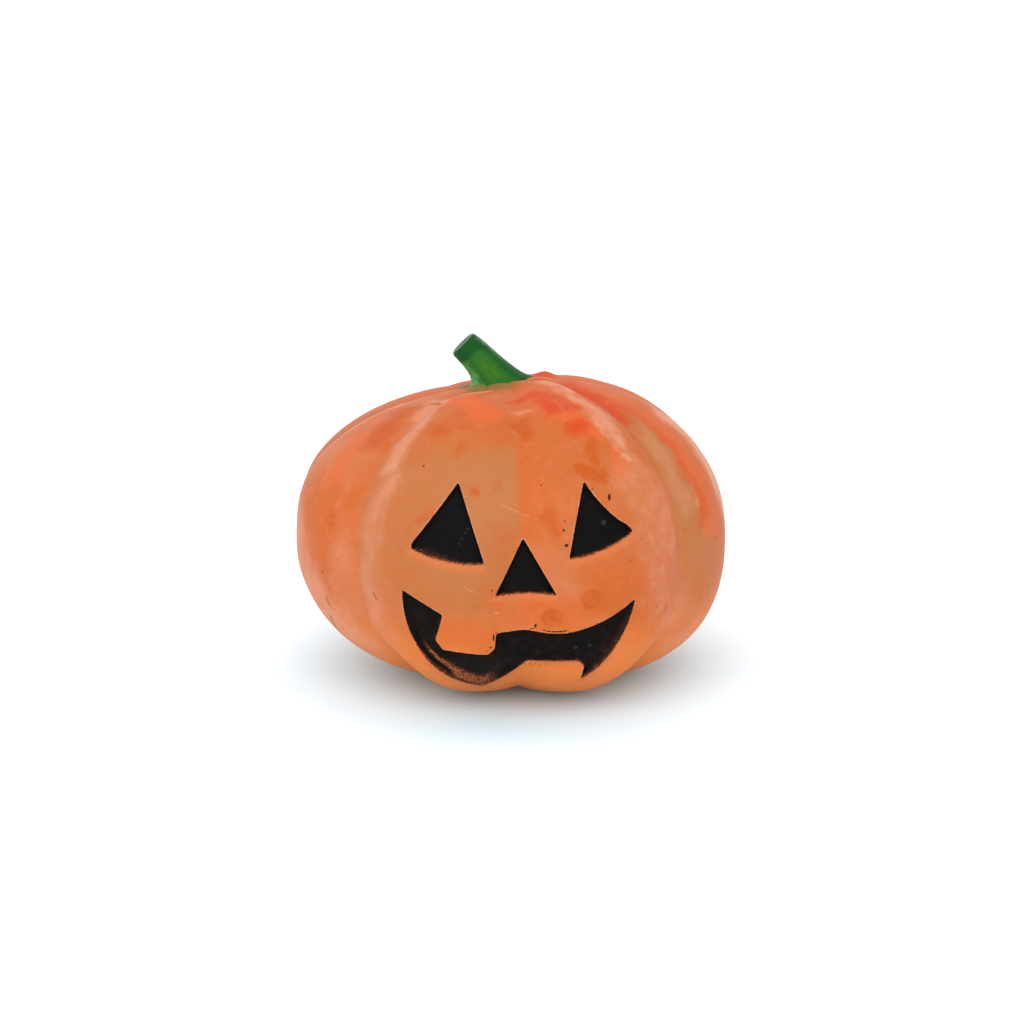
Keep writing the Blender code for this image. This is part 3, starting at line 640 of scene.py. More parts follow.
def shell_grid(azimuths, polars, sizes):
    """The outside of one half and what its paint needs to know."""
    azimuth, polar = np.meshgrid(azimuths, polars)
    moved, skin, normal, distance, lower = sunk_skin(azimuth, polar, sizes)
    edge = np.minimum(np.abs(azimuth - azimuths[0]), np.abs(azimuth - azimuths[-1]))
    nick = SEAM_NICK * np.exp(-(np.degrees(edge) / SEAM_NICK_WIDTH) ** 2)
    moved = moved - normal * nick[..., None]
    moved[..., 2] = np.maximum(moved[..., 2], 0.0)
    layers = paint_layers(skin, azimuth)
    layers.update({"edge_mm": distance, "lower_edge": lower,
                   "seam_mm": np.abs(skin[..., 1])})
    return moved, layers


def close_hole_rows(grid):
    """Two more rows: up the wall of the rebate, then in along its ceiling."""
    rim = grid[-1]
    away = np.hypot(rim[:, 0], rim[:, 1])
    flat = np.stack([rim[:, 0] / away, rim[:, 1] / away], -1)
    rows = []
    for radius in (REBATE_RADIUS, POUR_RADIUS):
        rows.append(np.column_stack([flat * radius, np.full(len(rim), REBATE_TOP)]))
    return np.concatenate([grid, np.stack(rows)], 0)


def build_shell(name, node, start, azimuth_stops, polar_stops, sizes):
    azimuths = angle_stops(start, azimuth_stops)
    polars = angle_stops(CROWN_OPENING, polar_stops)
    skin, layers = shell_grid(azimuths, polars, sizes)
    outside = close_hole_rows(skin)
    span, drop = np.degrees([azimuths[-1] - azimuths[0], polars[-1] - polars[0]])
    inner_azimuths = angle_stops(start, [(start + span, CAVITY_STEP)])
    inner_polars = angle_stops(CROWN_OPENING, [(CROWN_OPENING + drop, CAVITY_STEP)])
    inside = body_form(*np.meshgrid(inner_azimuths, inner_polars), WALL, BASE_WALL,
                       CAVITY_SOFTENING)
    outer_faces, outer = grid_faces(0, *outside.shape[:2])
    inner_faces, inner = grid_faces(outer.size, *inside.shape[:2])
    side = 1.0 if start > 0 else -1.0
    vertices = np.concatenate([outside.reshape(-1, 3), inside.reshape(-1, 3)])
    vertices[:, 1] += side * SEAM_HALF_GAP
    outer_polars = np.append(polars, [polars[-1], polars[-1]])
    faces = outer_faces + [face[::-1] for face in inner_faces]
    faces += stitch(outer[0], inner[0], azimuths, inner_azimuths)
    faces += stitch(outer[-1], inner[-1], azimuths, inner_azimuths)
    faces += stitch(outer[:, 0], inner[:, 0], outer_polars, inner_polars)
    faces += stitch(outer[:, -1], inner[:, -1], outer_polars, inner_polars)
    spare = len(vertices) - layers["tan"].size
    blank = {"edge_mm": FACE_LIMIT, "seam_mm": FACE_LIMIT}
    attributes = {}
    for key, values in layers.items():
        rest = np.full(spare, blank.get(key, 0.0))
        attributes[key] = np.concatenate([values.ravel(), rest])
    bare = np.concatenate([np.zeros(layers["tan"].size), np.ones(spare)])
    attributes["bare"] = bare
    return new_piece(name, vertices, faces, "orange_body", node, attributes=attributes)


# ---- Enamel ---------------------------------------------------------------------------

def skin_patch(sizes):
    """The recessed skin of the face, to drop the enamel onto along Y."""
    azimuths = angle_stops(-40.0, [(40.0, 0.4)])
    polars = angle_stops(45.0, [(160.0, 0.4)])
    grid = sunk_skin(*np.meshgrid(azimuths, polars), sizes)[0]
    faces, _ = grid_faces(0, *grid.shape[:2])
    return BVHTree.FromPolygons(grid.reshape(-1, 3).tolist(), faces)


def inset(outline):
    """An outline drawn in, further where it faces down."""
    before = outline - np.roll(outline, 1, 0)
    after = np.roll(outline, -1, 0) - outline
    along = before / np.linalg.norm(before, axis=1, keepdims=True)
    along = along + after / np.linalg.norm(after, axis=1, keepdims=True)
    along = along / np.linalg.norm(along, axis=1, keepdims=True)
    inward = np.column_stack([along[:, 1], -along[:, 0]])
    lower = np.clip(-along[:, 0], 0, 1)[:, None]
    return outline + inward * (ENAMEL_INSET + (ENAMEL_LOWER_INSET - ENAMEL_INSET) * lower)


def enamel_sheet(outline):
    """A triangle mesh of the inside of an outline: flat places, faces and rim order."""
    rim = inset(outline)
    low, high = rim.min(0), rim.max(0)
    grid = np.stack(np.meshgrid(np.arange(low[0], high[0], ENAMEL_STEP),
                                np.arange(low[1], high[1], ENAMEL_STEP)), -1)
    grid = grid.reshape(-1, 2)
    away, _ = outline_distance(grid, rim)
    grid = grid[away < -0.6 * ENAMEL_STEP]
    places = np.concatenate([rim, grid])
    ring = [(i, (i + 1) % len(rim)) for i in range(len(rim))]
    result = delaunay_2d_cdt([Vector(p) for p in places], ring, [], 1, 0.001)
    return np.array([tuple(v) for v in result[0]]), [tuple(f) for f in result[2]]


def build_enamel(name, outline, patch, sizes):
    places, faces = enamel_sheet(outline)
    distance, lower = outline_distance(places, outline)
    film = sizes.enamel_film / MM
    top, bottom = [], []
    for x, z in places:
        hit, normal, _, _ = patch.ray_cast(Vector((x, -90.0, z)), Vector((0.0, 1.0, 0.0)))
        if hit is None:
            raise RuntimeError(f"{name} leaves the front of the body at {x:.1f}, {z:.1f}")
        if normal.y > 0:
            normal = -normal
        top.append(hit + normal * (film + ENAMEL_LIFT))
        bottom.append(hit + normal * ENAMEL_LIFT)
    count = len(places)
    vertices = np.array([tuple(v) for v in top + bottom])
    edges = [edge for face in faces for edge in zip(face, face[1:] + face[:1])]
    paired = set(edges)
    walls = [(b, a, a + count, b + count) for a, b in edges if (b, a) not in paired]
    under = [tuple(i + count for i in reversed(face)) for face in faces]
    attributes = {"edge_mm": np.tile(distance, 2), "lower_edge": np.tile(lower, 2),
                  "floor": np.full(2 * count, 1.0 if name == "mouth" else 0.0),
                  "worn": np.tile(worn_band(places, name, -distance, lower), 2)}
    return new_piece(f"{name}_enamel_film", vertices, list(faces) + under + walls,
                     "black_enamel", f"{name}_enamel", attributes=attributes)


def worn_band(places, name, depth, lower):
    """Thin, rubbed enamel: low in the mouth on the left, and in the left eye's corner."""
    x, z = places[:, 0], places[:, 1]
    if name == "mouth":
        left = smooth(depth, 3.9, 1.7) * smooth(lower, 0.1, 0.35) * smooth(z, 21, 14)
        left = left * band(x, -21.5, -17.5, -8.0, -1.5)
        left = left * (1 - smooth(x, -12.5, -14.5) * smooth(depth, 1.6, 0.9))
        right = 0.55 * smooth(depth, 2.4, 0.3) * smooth(x, 11.5, 14.5) * smooth(lower, 0.1, 0.4)
        return np.maximum(left, right)
    if name == "left_eye":
        return 0.62 * smooth(depth, 2.4, 0.2) * lower * smooth(x, -9.0, -17.0)
    return 0.0 * x


# ---- Stem and disc --------------------------------------------------------------------

def stem_edges(shares):
    """Both edges and the half depth of the stem at shares of its length, smoothed."""
    stops = np.array(STEM_EDGES)
    at = np.linspace(0.0, 1.0, len(stops))
    edges = np.stack([np.interp(shares, at, column) for column in stops.T], -1)
    for _ in range(50):
        edges[1:-1] = (edges[:-2] + 2 * edges[1:-1] + edges[2:]) / 4
    return edges


def build_stem():
    shares = np.linspace(0.0, 1.0, STEM_RINGS)
    turn = np.linspace(0, 2 * math.pi, STEM_SIDES, endpoint=False)
    rings, ridge_layer = [], []
    for share, (left_x, left_z, right_x, right_z, deep) in zip(shares, stem_edges(shares)):
        ridge = np.cos(STEM_RIDGES * (turn + 0.5 + 0.5 * share)) + 0.4 * np.cos(3 * turn - 1)
        swell = 1 + STEM_RIDGE_HEIGHT * ridge * (1.0 - 0.5 * share) * np.sin(turn) ** 2
        side = 0.5 * np.cos(turn) * swell
        back = STEM_BACKWARD * share ** 2
        rings.append(np.stack([(left_x + right_x) / 2 + side * (right_x - left_x),
                               back + np.sin(turn) * deep * swell,
                               (left_z + right_z) / 2 + side * (right_z - left_z)], -1))
        ridge_layer.append(ridge)
    end = np.array(rings[-1])
    centre = end.mean(0)
    direction = np.cross(end[0] - centre, end[STEM_SIDES // 4] - centre)
    direction = direction / np.linalg.norm(direction) + np.array([0.0, 0.42, 0.0])
    direction = direction / np.linalg.norm(direction)
    rounding = STEM_END_ROUNDING
    inward = rounding / np.linalg.norm(end[0] - centre)
    caps = [(1 - inward * (1 - math.cos(turned)), rounding * math.sin(turned))
            for turned in np.radians((15, 30, 45, 60, 75, 90))]
    caps += [(0.5, 0.9 * rounding), (0.25, 0.8 * rounding)]
    for shrink, ahead in caps:
        rings.append(centre + (end - centre) * shrink + direction * ahead)
        ridge_layer.append(ridge_layer[-1] * 0.7)
    points = np.array(rings)
    rows, columns = points.shape[:2]
    vertices = np.concatenate([points.reshape(-1, 3), [points[0].mean(0)],
                               [points[-1].mean(0)]])
    faces = ring_faces(rows, columns)
    bottom, top = rows * columns, rows * columns + 1
    for column in range(columns):
        ahead = (column + 1) % columns
        faces.append((ahead, column, bottom))
        faces.append(((rows - 1) * columns + column, (rows - 1) * columns + ahead, top))
    along = np.repeat(np.append(shares, 1 + 0.01 * np.arange(1, len(caps) + 1)), columns)
    turns = np.tile(turn, rows)
    attributes = {
        "along": np.append(along, [0.0, 1.1]),
        "ridge": np.append(np.array(ridge_layer).ravel(), [0.0, 0.0]),
        "turn_x": np.append(np.cos(turns), [0.0, 0.0]),
        "turn_y": np.append(np.sin(turns), [0.0, 0.0]),
    }
    return new_piece("painted_stem", vertices, faces, "green_stem", "stem",
                     attributes=attributes)


def build_disc():
    """The closing disc as a turned ring with soft edges."""
    sides, soft = 160, 0.35
    profile = []
    corners = [(DISC_RADIUS, DISC_TOP), (VENT_RADIUS, DISC_TOP), (VENT_RADIUS, DISC_BOTTOM),
               (DISC_RADIUS, DISC_BOTTOM)]
    for index, (radius, height) in enumerate(corners):
        inward = -soft if radius == DISC_RADIUS else soft
        upward = -soft if height == DISC_TOP else soft
        arc = np.linspace(0, math.pi / 2, 6)
        if index % 2:
            arc = arc[::-1]
        for angle in arc:
            profile.append((radius + inward * (1 - math.cos(angle)),
                            height + upward * (1 - math.sin(angle))))
    rings = []
    for turn in np.linspace(0, 2 * math.pi, sides, endpoint=False):
        rings.append([(r * math.cos(turn), r * math.sin(turn), z) for r, z in profile])
    vertices = np.array(rings).reshape(-1, 3)
    faces = ring_faces(sides, len(profile), closed=True)
    return new_piece("closing_disc", vertices, faces, "raw_clay", "base_disc")


# ---- Node expressions -----------------------------------------------------------------

class Value:
    """A shader socket that takes part in Python expressions."""

    def __init__(self, finish, socket):
        self.finish = finish
        self.socket = socket

    def maths(self, operation, *others):
        return self.finish.add("ShaderNodeMath", {"operation": operation}, [self, *others])

    def __add__(self, other):
        return self.maths("ADD", other)

    def __mul__(self, other):
        return self.maths("MULTIPLY", other)

    def __sub__(self, other):
        return self.maths("SUBTRACT", other)

    def __rsub__(self, other):
        return self.finish.add("ShaderNodeMath", {"operation": "SUBTRACT"}, [other, self])

    def __truediv__(self, other):
        return self.maths("DIVIDE", other)

    __radd__ = __add__
    __rmul__ = __mul__

    def max(self, other):
        return self.maths("MAXIMUM", other)

    def min(self, other):
        return self.maths("MINIMUM", other)

    def step(self, low, high):
        """0 below low and 1 above high, with a smooth ramp; low may be above high."""
        settings = {"interpolation_type": "SMOOTHSTEP", "clamp": True}
        return self.finish.add("ShaderNodeMapRange", settings, {"Value": self,
                               "From Min": low, "From Max": high}, "Result")


class Finish:
    """One node material, built from expressions."""

    def __init__(self, name):
        self.material = bpy.data.materials.new(name)
        self.material.use_nodes = True
        self.tree = self.material.node_tree
        self.shader = self.tree.nodes["Principled BSDF"]
        metres = self.add("ShaderNodeTexCoord", out="Object")
        self.place = self.add("ShaderNodeVectorMath", {"operation": "SCALE"},
                              {"Vector": metres, "Scale": 1000.0}, "Vector")

    def add(self, kind, settings=None, inputs=(), out=0):
        """A node of a kind; its settings come first, then its sockets' values or links."""
        node = self.tree.nodes.new(kind)
        for key, value in (settings or {}).items():
            setattr(node, key, value)
        pairs = inputs.items() if isinstance(inputs, dict) else enumerate(inputs)
        for key, value in pairs:
            self.feed(node.inputs[key], value)
        return Value(self, node.outputs[out])

    def feed(self, socket, value):
        if isinstance(value, Value):
            self.tree.links.new(value.socket, socket)
        elif socket.type == "RGBA" and len(value) == 3:
            socket.default_value = (*value, 1.0)
        else:
            socket.default_value = value

    def attribute(self, name):
        return self.add("ShaderNodeAttribute", {"attribute_name": name}, out="Fac")

    def noise(self, per_mm, detail=2.0, roughness=0.5, place=None, distortion=0.0):
        return self.add("ShaderNodeTexNoise", {}, {
            "Vector": place or self.place, "Scale": per_mm, "Detail": detail,
            "Roughness": roughness, "Distortion": distortion}, "Fac")

    def shifted(self, x, y, z):
        return self.add("ShaderNodeVectorMath", {"operation": "ADD"},
                        [self.place, (x, y, z)], "Vector")

    def mix(self, share, first, second):
        settings = {"data_type": "RGBA", "clamp_factor": True}
        share_socket, first_socket, second_socket, result_socket = 0, 6, 7, 2
        return self.add("ShaderNodeMix", settings, {
            share_socket: share, first_socket: first, second_socket: second}, result_socket)

    def coat(self, paint, *layers):
        """Colours laid over the paint one after another, each by its own share."""
        for share, colour in layers:
            paint = self.mix(share, paint, colour)
        return paint

    def bump(self, height, strength, distance_mm):
        inputs = {"Strength": strength, "Distance": distance_mm * MM, "Height": height}
        return self.add("ShaderNodeBump", {}, inputs, "Normal")

    def ellipse(self, x, z, half_width, half_height):
        """1 inside a small upright ellipse on the front, with a slightly soft edge."""
        moved = self.add("ShaderNodeVectorMath", {"operation": "SUBTRACT"},
                         [self.place, (x, 0.0, z)], "Vector")
        scaled = self.add("ShaderNodeVectorMath", {"operation": "MULTIPLY"},
                          [moved, (1 / half_width, 0.0, 1 / half_height)], "Vector")
        reach = self.add("ShaderNodeVectorMath", {"operation": "LENGTH"}, [scaled], "Value")
        return reach.step(1.15, 0.8)

    def segment_distance(self, first, last):
        """Distance in millimetres to a straight stretch between two points."""
        run = Vector(last) - Vector(first)
        near = self.add("ShaderNodeVectorMath", {"operation": "SUBTRACT"},
                        [self.place, first], "Vector")
        along = self.add("ShaderNodeVectorMath", {"operation": "DOT_PRODUCT"},
                         [near, tuple(run / run.length_squared)], "Value")
        foot = self.add("ShaderNodeVectorMath", {"operation": "SCALE"},
                        {"Vector": tuple(run), "Scale": along.max(0.0).min(1.0)}, "Vector")
        return self.add("ShaderNodeVectorMath", {"operation": "DISTANCE"}, [near, foot],
                        "Value")

    def finish(self, **sockets):
        for name, value in sockets.items():
            self.feed(self.shader.inputs[name.replace("_", " ")], value)
        return self.material


def tinted(colour, factor):
    return tuple(min(1.0, channel * factor) for channel in colour)


def fringe(edge, lower, grain, speck, mottle):
    """How far brown and black have taken over at an edge, which is soft where it faces down."""
    noise = (grain - 0.5) * 0.5 + (speck - 0.5) * 1.2 + (mottle - 0.5) * 0.3
    soft = edge + noise * (0.08 + lower * 0.8)
    dark = soft.step(0.06 + lower * 0.22, -0.06 - lower * 0.80)
    return dark.step(0.0, 0.55), dark.step(0.30, 0.90)


# ---- Finishes -------------------------------------------------------------------------

def shell_finish(name, colours, with_face, skin):
    """Layered paint, with painted highlights and painted light near the base; skin is a search
    tree that puts the dark dashes on the surface.
    """
    f = Finish(name)
    coarse = f.noise(0.05, 3.0, 0.55)
    cloud = f.noise(0.16, 4.0, 0.6, f.shifted(31.0, 7.0, 3.0))
    blotch = f.noise(0.38, 4.0, 0.6, f.shifted(-11.0, 5.0, 17.0), 0.3)
    mottle = f.noise(1.0, 3.0, 0.6)
    grain = f.noise(5.0, 2.0, 0.6)
    speck = f.noise(3.4, 1.0, 0.5, f.shifted(3.0, 60.0, 9.0))

    def ragged(layer, amount=1.0):
        """A painted layer whose soft edge breaks up, and whose middle is uneven."""
        mask = f.attribute(layer)
        uneven = (blotch - 0.5) * 1.5 + (mottle - 0.5) * 0.9 + (grain - 0.5) * 0.25
        broken = mask + uneven * amount * (mask * (1.25 - mask))
        return broken.step(0.02, 1.0)

    paint = f.coat(
        colours.orange,
        (cloud.step(0.35, 0.7) * 0.22, tinted(colours.amber, 1.05)),
        (coarse.step(0.5, 0.7) * 0.16, colours.peach_and_highlight),
        (blotch.step(0.48, 0.75) * 0.10, colours.peach_and_highlight),
        (ragged("tan", 0.5), colours.tan),
        (mottle.step(0.48, 0.75) * 0.13, colours.amber),
        # painted light near the base, over the paint's clearer orange there
        (ragged("painted_glow", 0.5) * 0.9, colours.painted_glow),
        (ragged("coral"), colours.coral),
        # peach strokes: partly pale paint, partly painted highlight
        (ragged("peach_and_highlight", 0.6) * 0.75, colours.peach_and_highlight),
        (ragged("amber") * 0.75, colours.amber),
        (ragged("red", 1.4) * 0.9, colours.red),
        (f.attribute("ring") * 0.28, tinted(colours.amber, 0.7)),
        (grain.step(0.3, 0.8) * 0.10, tinted(colours.amber, 0.7)),
        (speck.step(0.64, 0.74) * 0.10, tinted(colours.peach_and_highlight, 1.1)),
        (ragged("green", 1.4) * 0.8, OVERSPRAY))

    wobble = (speck - 0.5) * 0.9

    def line(first, last, half_width):
        """1 on a thin, slightly wobbly line along the skin."""
        away = f.segment_distance(on_skin(skin, first), on_skin(skin, last)) / half_width
        return (away + wobble).step(1.7, 0.5)

    broken = f.noise(0.11, 2.0, 0.5, f.shifted(5.0, 0.0, 44.0)).step(0.48, 0.56)
    dark = f.attribute("seam_mm").step(0.24, 0.06) * (0.12 + broken * 0.4)
    for dash in DASHES:
        dark = dark.max(line(*dash) * 0.85)
    paint = f.mix(dark, paint, DIRT)
    for scratch in SCRATCHES:
        paint = f.mix(line(*scratch) * 0.35, paint, colours.peach_and_highlight)

    rough = 0.48 + (mottle - 0.5) * 0.14 + (grain - 0.5) * 0.10
    relief = mottle * 0.5 + grain * 0.22 + speck * 0.15
    if with_face:
        edge = f.attribute("edge_mm")
        lower = f.attribute("lower_edge")
        # painted highlight on the lip below each recess's lower edge
        painted_glow = (edge + (mottle - 0.5) * 1.2).step(2.0, 0.2) * lower.step(0.3, 0.85)
        # thin pale line on the upper and side edges: painted highlight of the rounded rim,
        # partly paint rubbed off the ridge
        edge_highlight_and_rub = edge.step(0.30, 0.14) * edge.step(-0.10, 0.02) * lower.step(0.4, 0.1)
        stain, black = fringe(edge, lower, grain, speck, mottle)
        paint = f.coat(paint, (painted_glow * 0.6, LOWER_EDGE_HIGHLIGHT),
                       (edge_highlight_and_rub * mottle.step(0.35, 0.75) * 0.5, colours.peach_and_highlight),
                       (stain * 0.85, STAIN))
        for fleck in FLECKS:
            black = black.max(f.ellipse(*fleck) * 0.92)
        paint = f.mix(black, paint, colours.black)
        rough = rough + black * 0.05
    bare = f.attribute("bare")
    paint = f.mix(bare.step(0.3, 0.7), paint, colours.clay)
    return f.finish(Base_Color=paint, Roughness=rough + bare * 0.35,
                    Normal=f.bump(relief, 0.35, 0.05), Specular_IOR_Level=0.09)


def enamel_finish(colours):
    f = Finish("Black enamel of the face")
    mottle = f.noise(0.9, 3.0, 0.6)
    grain = f.noise(4.6, 2.0, 0.6)
    speck = f.noise(3.0, 2.0, 0.65, f.shifted(0.0, 20.0, 40.0))
    blotch = f.noise(0.3, 3.0, 0.6, f.shifted(8.0, 0.0, 0.0))
    edge = f.attribute("edge_mm")
    lower = f.attribute("lower_edge")
    worn = f.attribute("worn")
    floor = f.attribute("floor")
    brown = floor * (blotch + (mottle - 0.5) * 0.6)
    rubbed = (speck + (mottle - 0.5) * 0.20 + (worn - 0.75) * 0.42).step(0.45, 0.68)
    paint = f.coat(
        colours.black,
        (mottle.step(0.4, 0.8) * 0.4, tinted(colours.black, 2.0)),
        (brown.step(0.35, 1.0) * 0.30, BROWNED_FLOOR),
        ((worn + (mottle - 0.5) * 0.5).step(0.1, 1.0) * 0.7, BROWNED_EDGE),
        (rubbed * worn.step(0.0, 0.45) * 0.85, RUBBED_THROUGH))
    stain, black = fringe(edge, lower, grain, speck, mottle)
    bare = f.mix(stain * 0.85, tinted(colours.painted_glow, 0.7), STAIN)
    paint = f.mix(black, bare, paint)
    for mark in ENAMEL_MARKS:
        paint = f.mix(f.ellipse(*mark) * 0.4, paint, SCUFF)
    rough = 0.46 + (grain - 0.5) * 0.3 + worn * 0.15
    relief = grain * 0.6 + mottle * 0.4
    return f.finish(Base_Color=paint, Roughness=rough, Normal=f.bump(relief, 0.5, 0.06),
                    Specular_IOR_Level=0.03)


def stem_finish(colours):
    f = Finish("Brushed green of the stem")
    around = f.add("ShaderNodeCombineXYZ", {}, [f.attribute("turn_x") * 4.2,
                   f.attribute("turn_y") * 4.2, f.attribute("along") * 3.2], "Vector")
    strokes = f.noise(1.7, 4.0, 0.65, around)
    fine = f.noise(6.0, 2.0, 0.6, around)
    mottle = f.noise(0.9, 3.0, 0.6)
    along = f.attribute("along")
    ridge = f.attribute("ridge")
    across = f.attribute("turn_x") + (mottle - 0.5) * 0.5
    olive = across.step(-0.5, 0.0) * across.step(0.55, 0.15) * along.step(0.25, 0.4)
    olive = olive * along.step(0.82, 0.6) * strokes.step(0.35, 0.6)
    # light green brush marks, gathered towards the left side as painted highlight
    light = (strokes - 0.5) * 1.5 + (fine - 0.5) * 0.6 + across.step(-0.2, -0.8) * 0.45
    light = light.step(0.22, 0.75) * along.step(0.88, 0.7) * across.step(0.5, 0.0)
    # painted highlight down the left side of the stem
    left_painted_highlight = across.step(-0.40, -0.95) * along.step(0.02, 0.2) * along.step(0.9, 0.74)
    left_painted_highlight = left_painted_highlight * (0.35 + strokes.step(0.35, 0.65) * 0.6)
    # darker at the foot and towards the end; darker down the right side as painted shade
    dark = along.step(0.30, 0.16) * 0.5 + along.step(0.72, 0.86) + across.step(0.3, 0.75) * 0.7
    dark = dark + (mottle - 0.5) * 0.5 + (fine - 0.5) * 0.3
    heel = along.step(0.22, 0.10) * across.step(0.35, 0.8)
    # painted highlight on the rounded end rim and along the right edge
    rim = along.step(1.022, 1.034) * along.step(1.062, 1.048)
    rim = rim.max(across.step(0.80, 0.98) * along.step(0.45, 0.7) * along.step(1.0, 0.9))
    smear = along.step(0.13, 0.06) * (mottle - 0.5 + along.step(0.13, 0.0)).step(0.1, 0.6)
    paint = f.coat(
        colours.green,
        (mottle.step(0.35, 0.7) * 0.5, tinted(colours.green, 1.3)),
        (olive * 0.75, OLIVE),
        (light * 0.8, colours.light_green_and_highlight),
        (left_painted_highlight, tinted(colours.light_green_and_highlight, 1.5)),
        (dark.step(0.15, 1.0) * 0.85, colours.green_dark),
        (heel * 0.55, WORN_HEEL),
        (rim * (0.15 + fine * 0.45), PAINTED_RIM_HIGHLIGHT),
        (smear * 0.8, SMEAR))
    rough = 0.40 + (strokes - 0.5) * 0.25
    relief = strokes * 0.7 + fine * 0.3
    return f.finish(Base_Color=paint, Roughness=rough, Normal=f.bump(relief, 0.5, 0.10),
                    Specular_IOR_Level=0.07)


def clay_finish(colours):
    f = Finish("Unpainted clay of the disc")
    mottle = f.noise(0.5, 4.0, 0.6)
    grain = f.noise(6.0, 3.0, 0.7)
    stain = f.noise(0.18, 3.0, 0.6, f.shifted(9.0, 9.0, 0.0)).step(0.5, 0.7)
    paint = f.coat(colours.clay,
                   (mottle.step(0.3, 0.7), tinted(colours.clay, 0.8)),
                   (stain * 0.5, tinted(colours.orange, 1.1)),
                   (grain.step(0.6, 0.7) * 0.3, tinted(colours.clay, 0.5)))
    return f.finish(Base_Color=paint, Roughness=0.78 + (grain - 0.5) * 0.2,
                    Normal=f.bump(grain * 0.7 + mottle * 0.3, 0.6, 0.15))


def floor_finish():
    """Pale, and a little cooler close in, against the warm light thrown by the figure."""
    f = Finish("Pale floor")
    reach = f.add("ShaderNodeVectorMath", {"operation": "LENGTH"}, [f.place], "Value")
    paint = f.mix(reach.step(*FLOOR_TINT_REACH), FLOOR_NEAR, FLOOR_FAR)
    return f.finish(Base_Color=paint, Roughness=0.9, Specular_IOR_Level=0.1)


def on_skin(skin, place):
    """The point of the shell's surface that is nearest to a place."""
    return tuple(skin.find_nearest(Vector(place))[0])


def search_tree(piece):
    places = [vertex.co / MM for vertex in piece.data.vertices]
    return BVHTree.FromPolygons(places, [face.vertices for face in piece.data.polygons])


def wear(piece, material):
    piece.data.materials.clear()
    piece.data.materials.append(material)


# ---- Operators ------------------------------------------------------------------------

class PUMPKIN_OT_shells(bpy.types.Operator):
    """Build the two painted halves of the body"""
    bl_idname = "pumpkin.shells"
    bl_label = "Body Shells"

    def execute(self, context):
        sizes, colours = context.scene.pumpkin_sizes, context.scene.pumpkin_colours
        front = build_shell("painted_front", "front_shell", FRONT_START, FRONT_AZIMUTHS,
                            FRONT_POLARS, sizes)
        skin = search_tree(front)
        wear(front, shell_finish("Sprayed orange of the front", colours, True, skin))
        back = build_shell("painted_back", "back_shell", BACK_START, BACK_AZIMUTHS,
                           BACK_POLARS, sizes)
        wear(back, shell_finish("Sprayed orange of the back", colours, False, skin))
        for shell in (front, back):
            sharpen(shell, 50)
        return {"FINISHED"}


class PUMPKIN_OT_enamel(bpy.types.Operator):
    """Lay the black enamel in the eyes, nose and mouth"""
    bl_idname = "pumpkin.enamel"
    bl_label = "Face Enamel"

    def execute(self, context):
        patch = skin_patch(context.scene.pumpkin_sizes)
        material = enamel_finish(context.scene.pumpkin_colours)
        for name, outline in OUTLINES.items():
            piece = build_enamel(name, outline, patch, context.scene.pumpkin_sizes)
            wear(piece, material)
            sharpen(piece, 50)
        return {"FINISHED"}


class PUMPKIN_OT_stem(bpy.types.Operator):
    """Build the bent, ridged stem"""
    bl_idname = "pumpkin.stem"
    bl_label = "Stem"

    def execute(self, context):
        piece = build_stem()
        wear(piece, stem_finish(context.scene.pumpkin_colours))
        return {"FINISHED"}


class PUMPKIN_OT_base_disc(bpy.types.Operator):
    """Build the disc that closes the pour hole"""
    bl_idname = "pumpkin.base_disc"
    bl_label = "Base Disc"

    def execute(self, context):
        wear(build_disc(), clay_finish(context.scene.pumpkin_colours))
        return {"FINISHED"}


class PUMPKIN_OT_stage(bpy.types.Operator):
    """Set the floor, the soft light and the camera"""
    bl_idname = "pumpkin.stage"
    bl_label = "Stage"

    def execute(self, context):
        scene = context.scene
        bpy.ops.mesh.primitive_plane_add(size=FLOOR_SIZE * MM)
        floor = context.active_object
        floor.name = "studio_floor"
        wear(floor, floor_finish())
        world = bpy.data.worlds.new("Studio")
        world.use_nodes = True
        world.node_tree.nodes["Background"].inputs["Color"].default_value = (1, 1, 1, 1)
        world.node_tree.nodes["Background"].inputs["Strength"].default_value = WORLD_STRENGTH
        scene.world = world
        add_sun(scene)
        add_camera(scene)
        scene.view_settings.view_transform = "Standard"
        return {"FINISHED"}


def add_sun(scene):
    data = bpy.data.lights.new("softbox", "SUN")
    data.energy = SUN_STRENGTH
    data.angle = math.radians(SUN_SPREAD)
    lamp = bpy.data.objects.new("softbox", data)
    scene.collection.objects.link(lamp)
    lamp.rotation_euler = (math.radians(90 - SUN_ELEVATION), 0.0, math.radians(SUN_AZIMUTH))


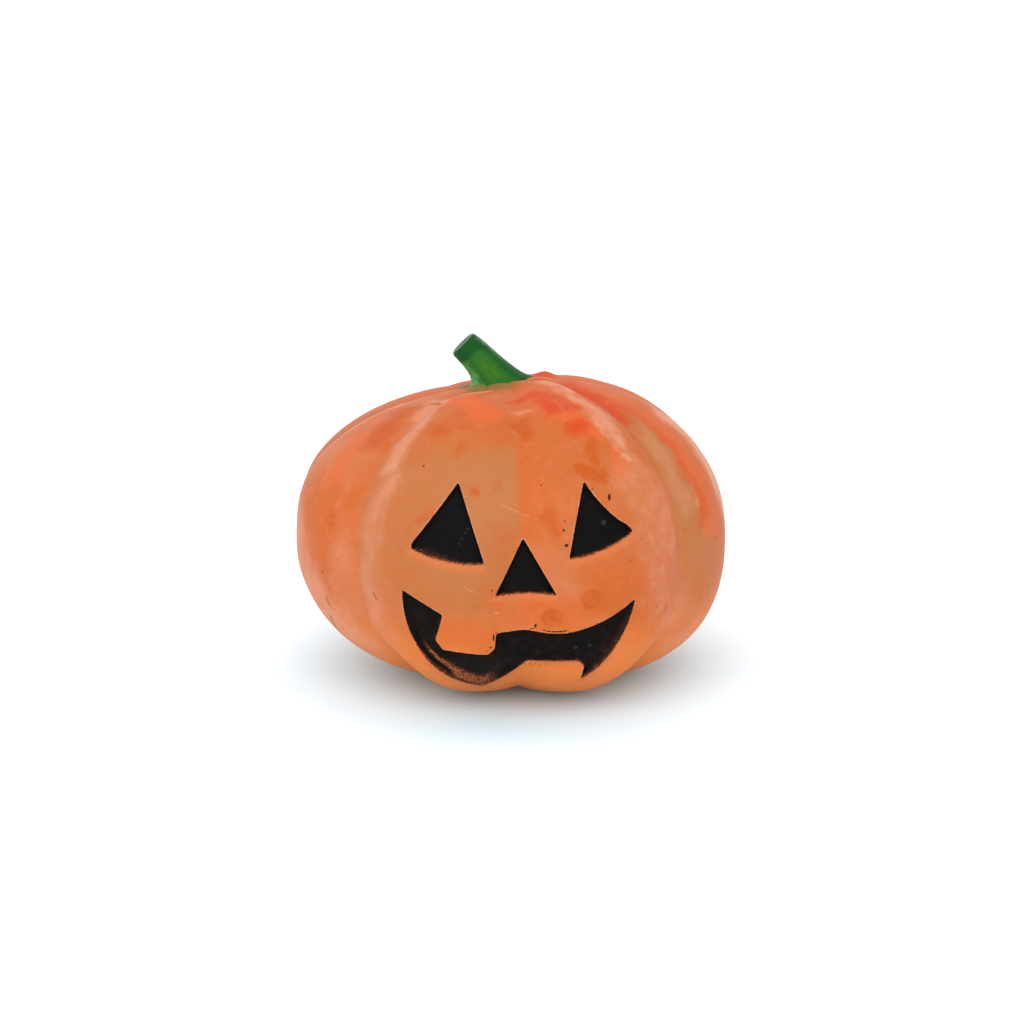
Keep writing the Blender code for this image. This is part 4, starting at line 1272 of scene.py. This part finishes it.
def add_camera(scene):
    data = bpy.data.cameras.new("camera")
    data.lens = CAMERA_LENS
    data.sensor_width = 36.0
    data.clip_start = 0.01
    camera = bpy.data.objects.new("camera", data)
    scene.collection.objects.link(camera)
    turn, rise = math.radians(CAMERA_AZIMUTH), math.radians(CAMERA_ELEVATION)
    back = Vector((math.sin(turn) * math.cos(rise), -math.cos(turn) * math.cos(rise),
                   math.sin(rise)))
    camera.location = (Vector(CAMERA_AIM) + back * CAMERA_DISTANCE) * MM
    camera.rotation_euler = (-back).to_track_quat("-Z", "Y").to_euler()
    scene.camera = camera


class PUMPKIN_PT_figure(bpy.types.Panel):
    """Sidebar panel with the figure's settings and builders"""
    bl_idname = "PUMPKIN_PT_figure"
    bl_label = "Pumpkin Figure"
    bl_space_type = "VIEW_3D"
    bl_region_type = "UI"
    bl_category = "Pumpkin"

    def draw(self, context):
        layout = self.layout
        for group in (context.scene.pumpkin_sizes, context.scene.pumpkin_colours):
            column = layout.column()
            for name in group.bl_rna.properties.keys():
                if name not in ("rna_type", "name"):
                    column.prop(group, name)
        for operator in OPERATORS:
            layout.operator(operator.bl_idname)


OPERATORS = (PUMPKIN_OT_shells, PUMPKIN_OT_enamel, PUMPKIN_OT_stem, PUMPKIN_OT_base_disc,
             PUMPKIN_OT_stage)
CLASSES = (PumpkinSizes, PumpkinColours, *OPERATORS, PUMPKIN_PT_figure)


def register():
    for cls in CLASSES:
        bpy.utils.register_class(cls)
    bpy.types.Scene.pumpkin_sizes = bpy.props.PointerProperty(type=PumpkinSizes)
    bpy.types.Scene.pumpkin_colours = bpy.props.PointerProperty(type=PumpkinColours)


def unregister():
    del bpy.types.Scene.pumpkin_colours
    del bpy.types.Scene.pumpkin_sizes
    for cls in reversed(CLASSES):
        bpy.utils.unregister_class(cls)


def main():
    register()
    bpy.ops.pumpkin.shells()
    bpy.ops.pumpkin.enamel()
    bpy.ops.pumpkin.stem()
    bpy.ops.pumpkin.base_disc()
    bpy.ops.pumpkin.stage()


if __name__ == "__main__":
    main()
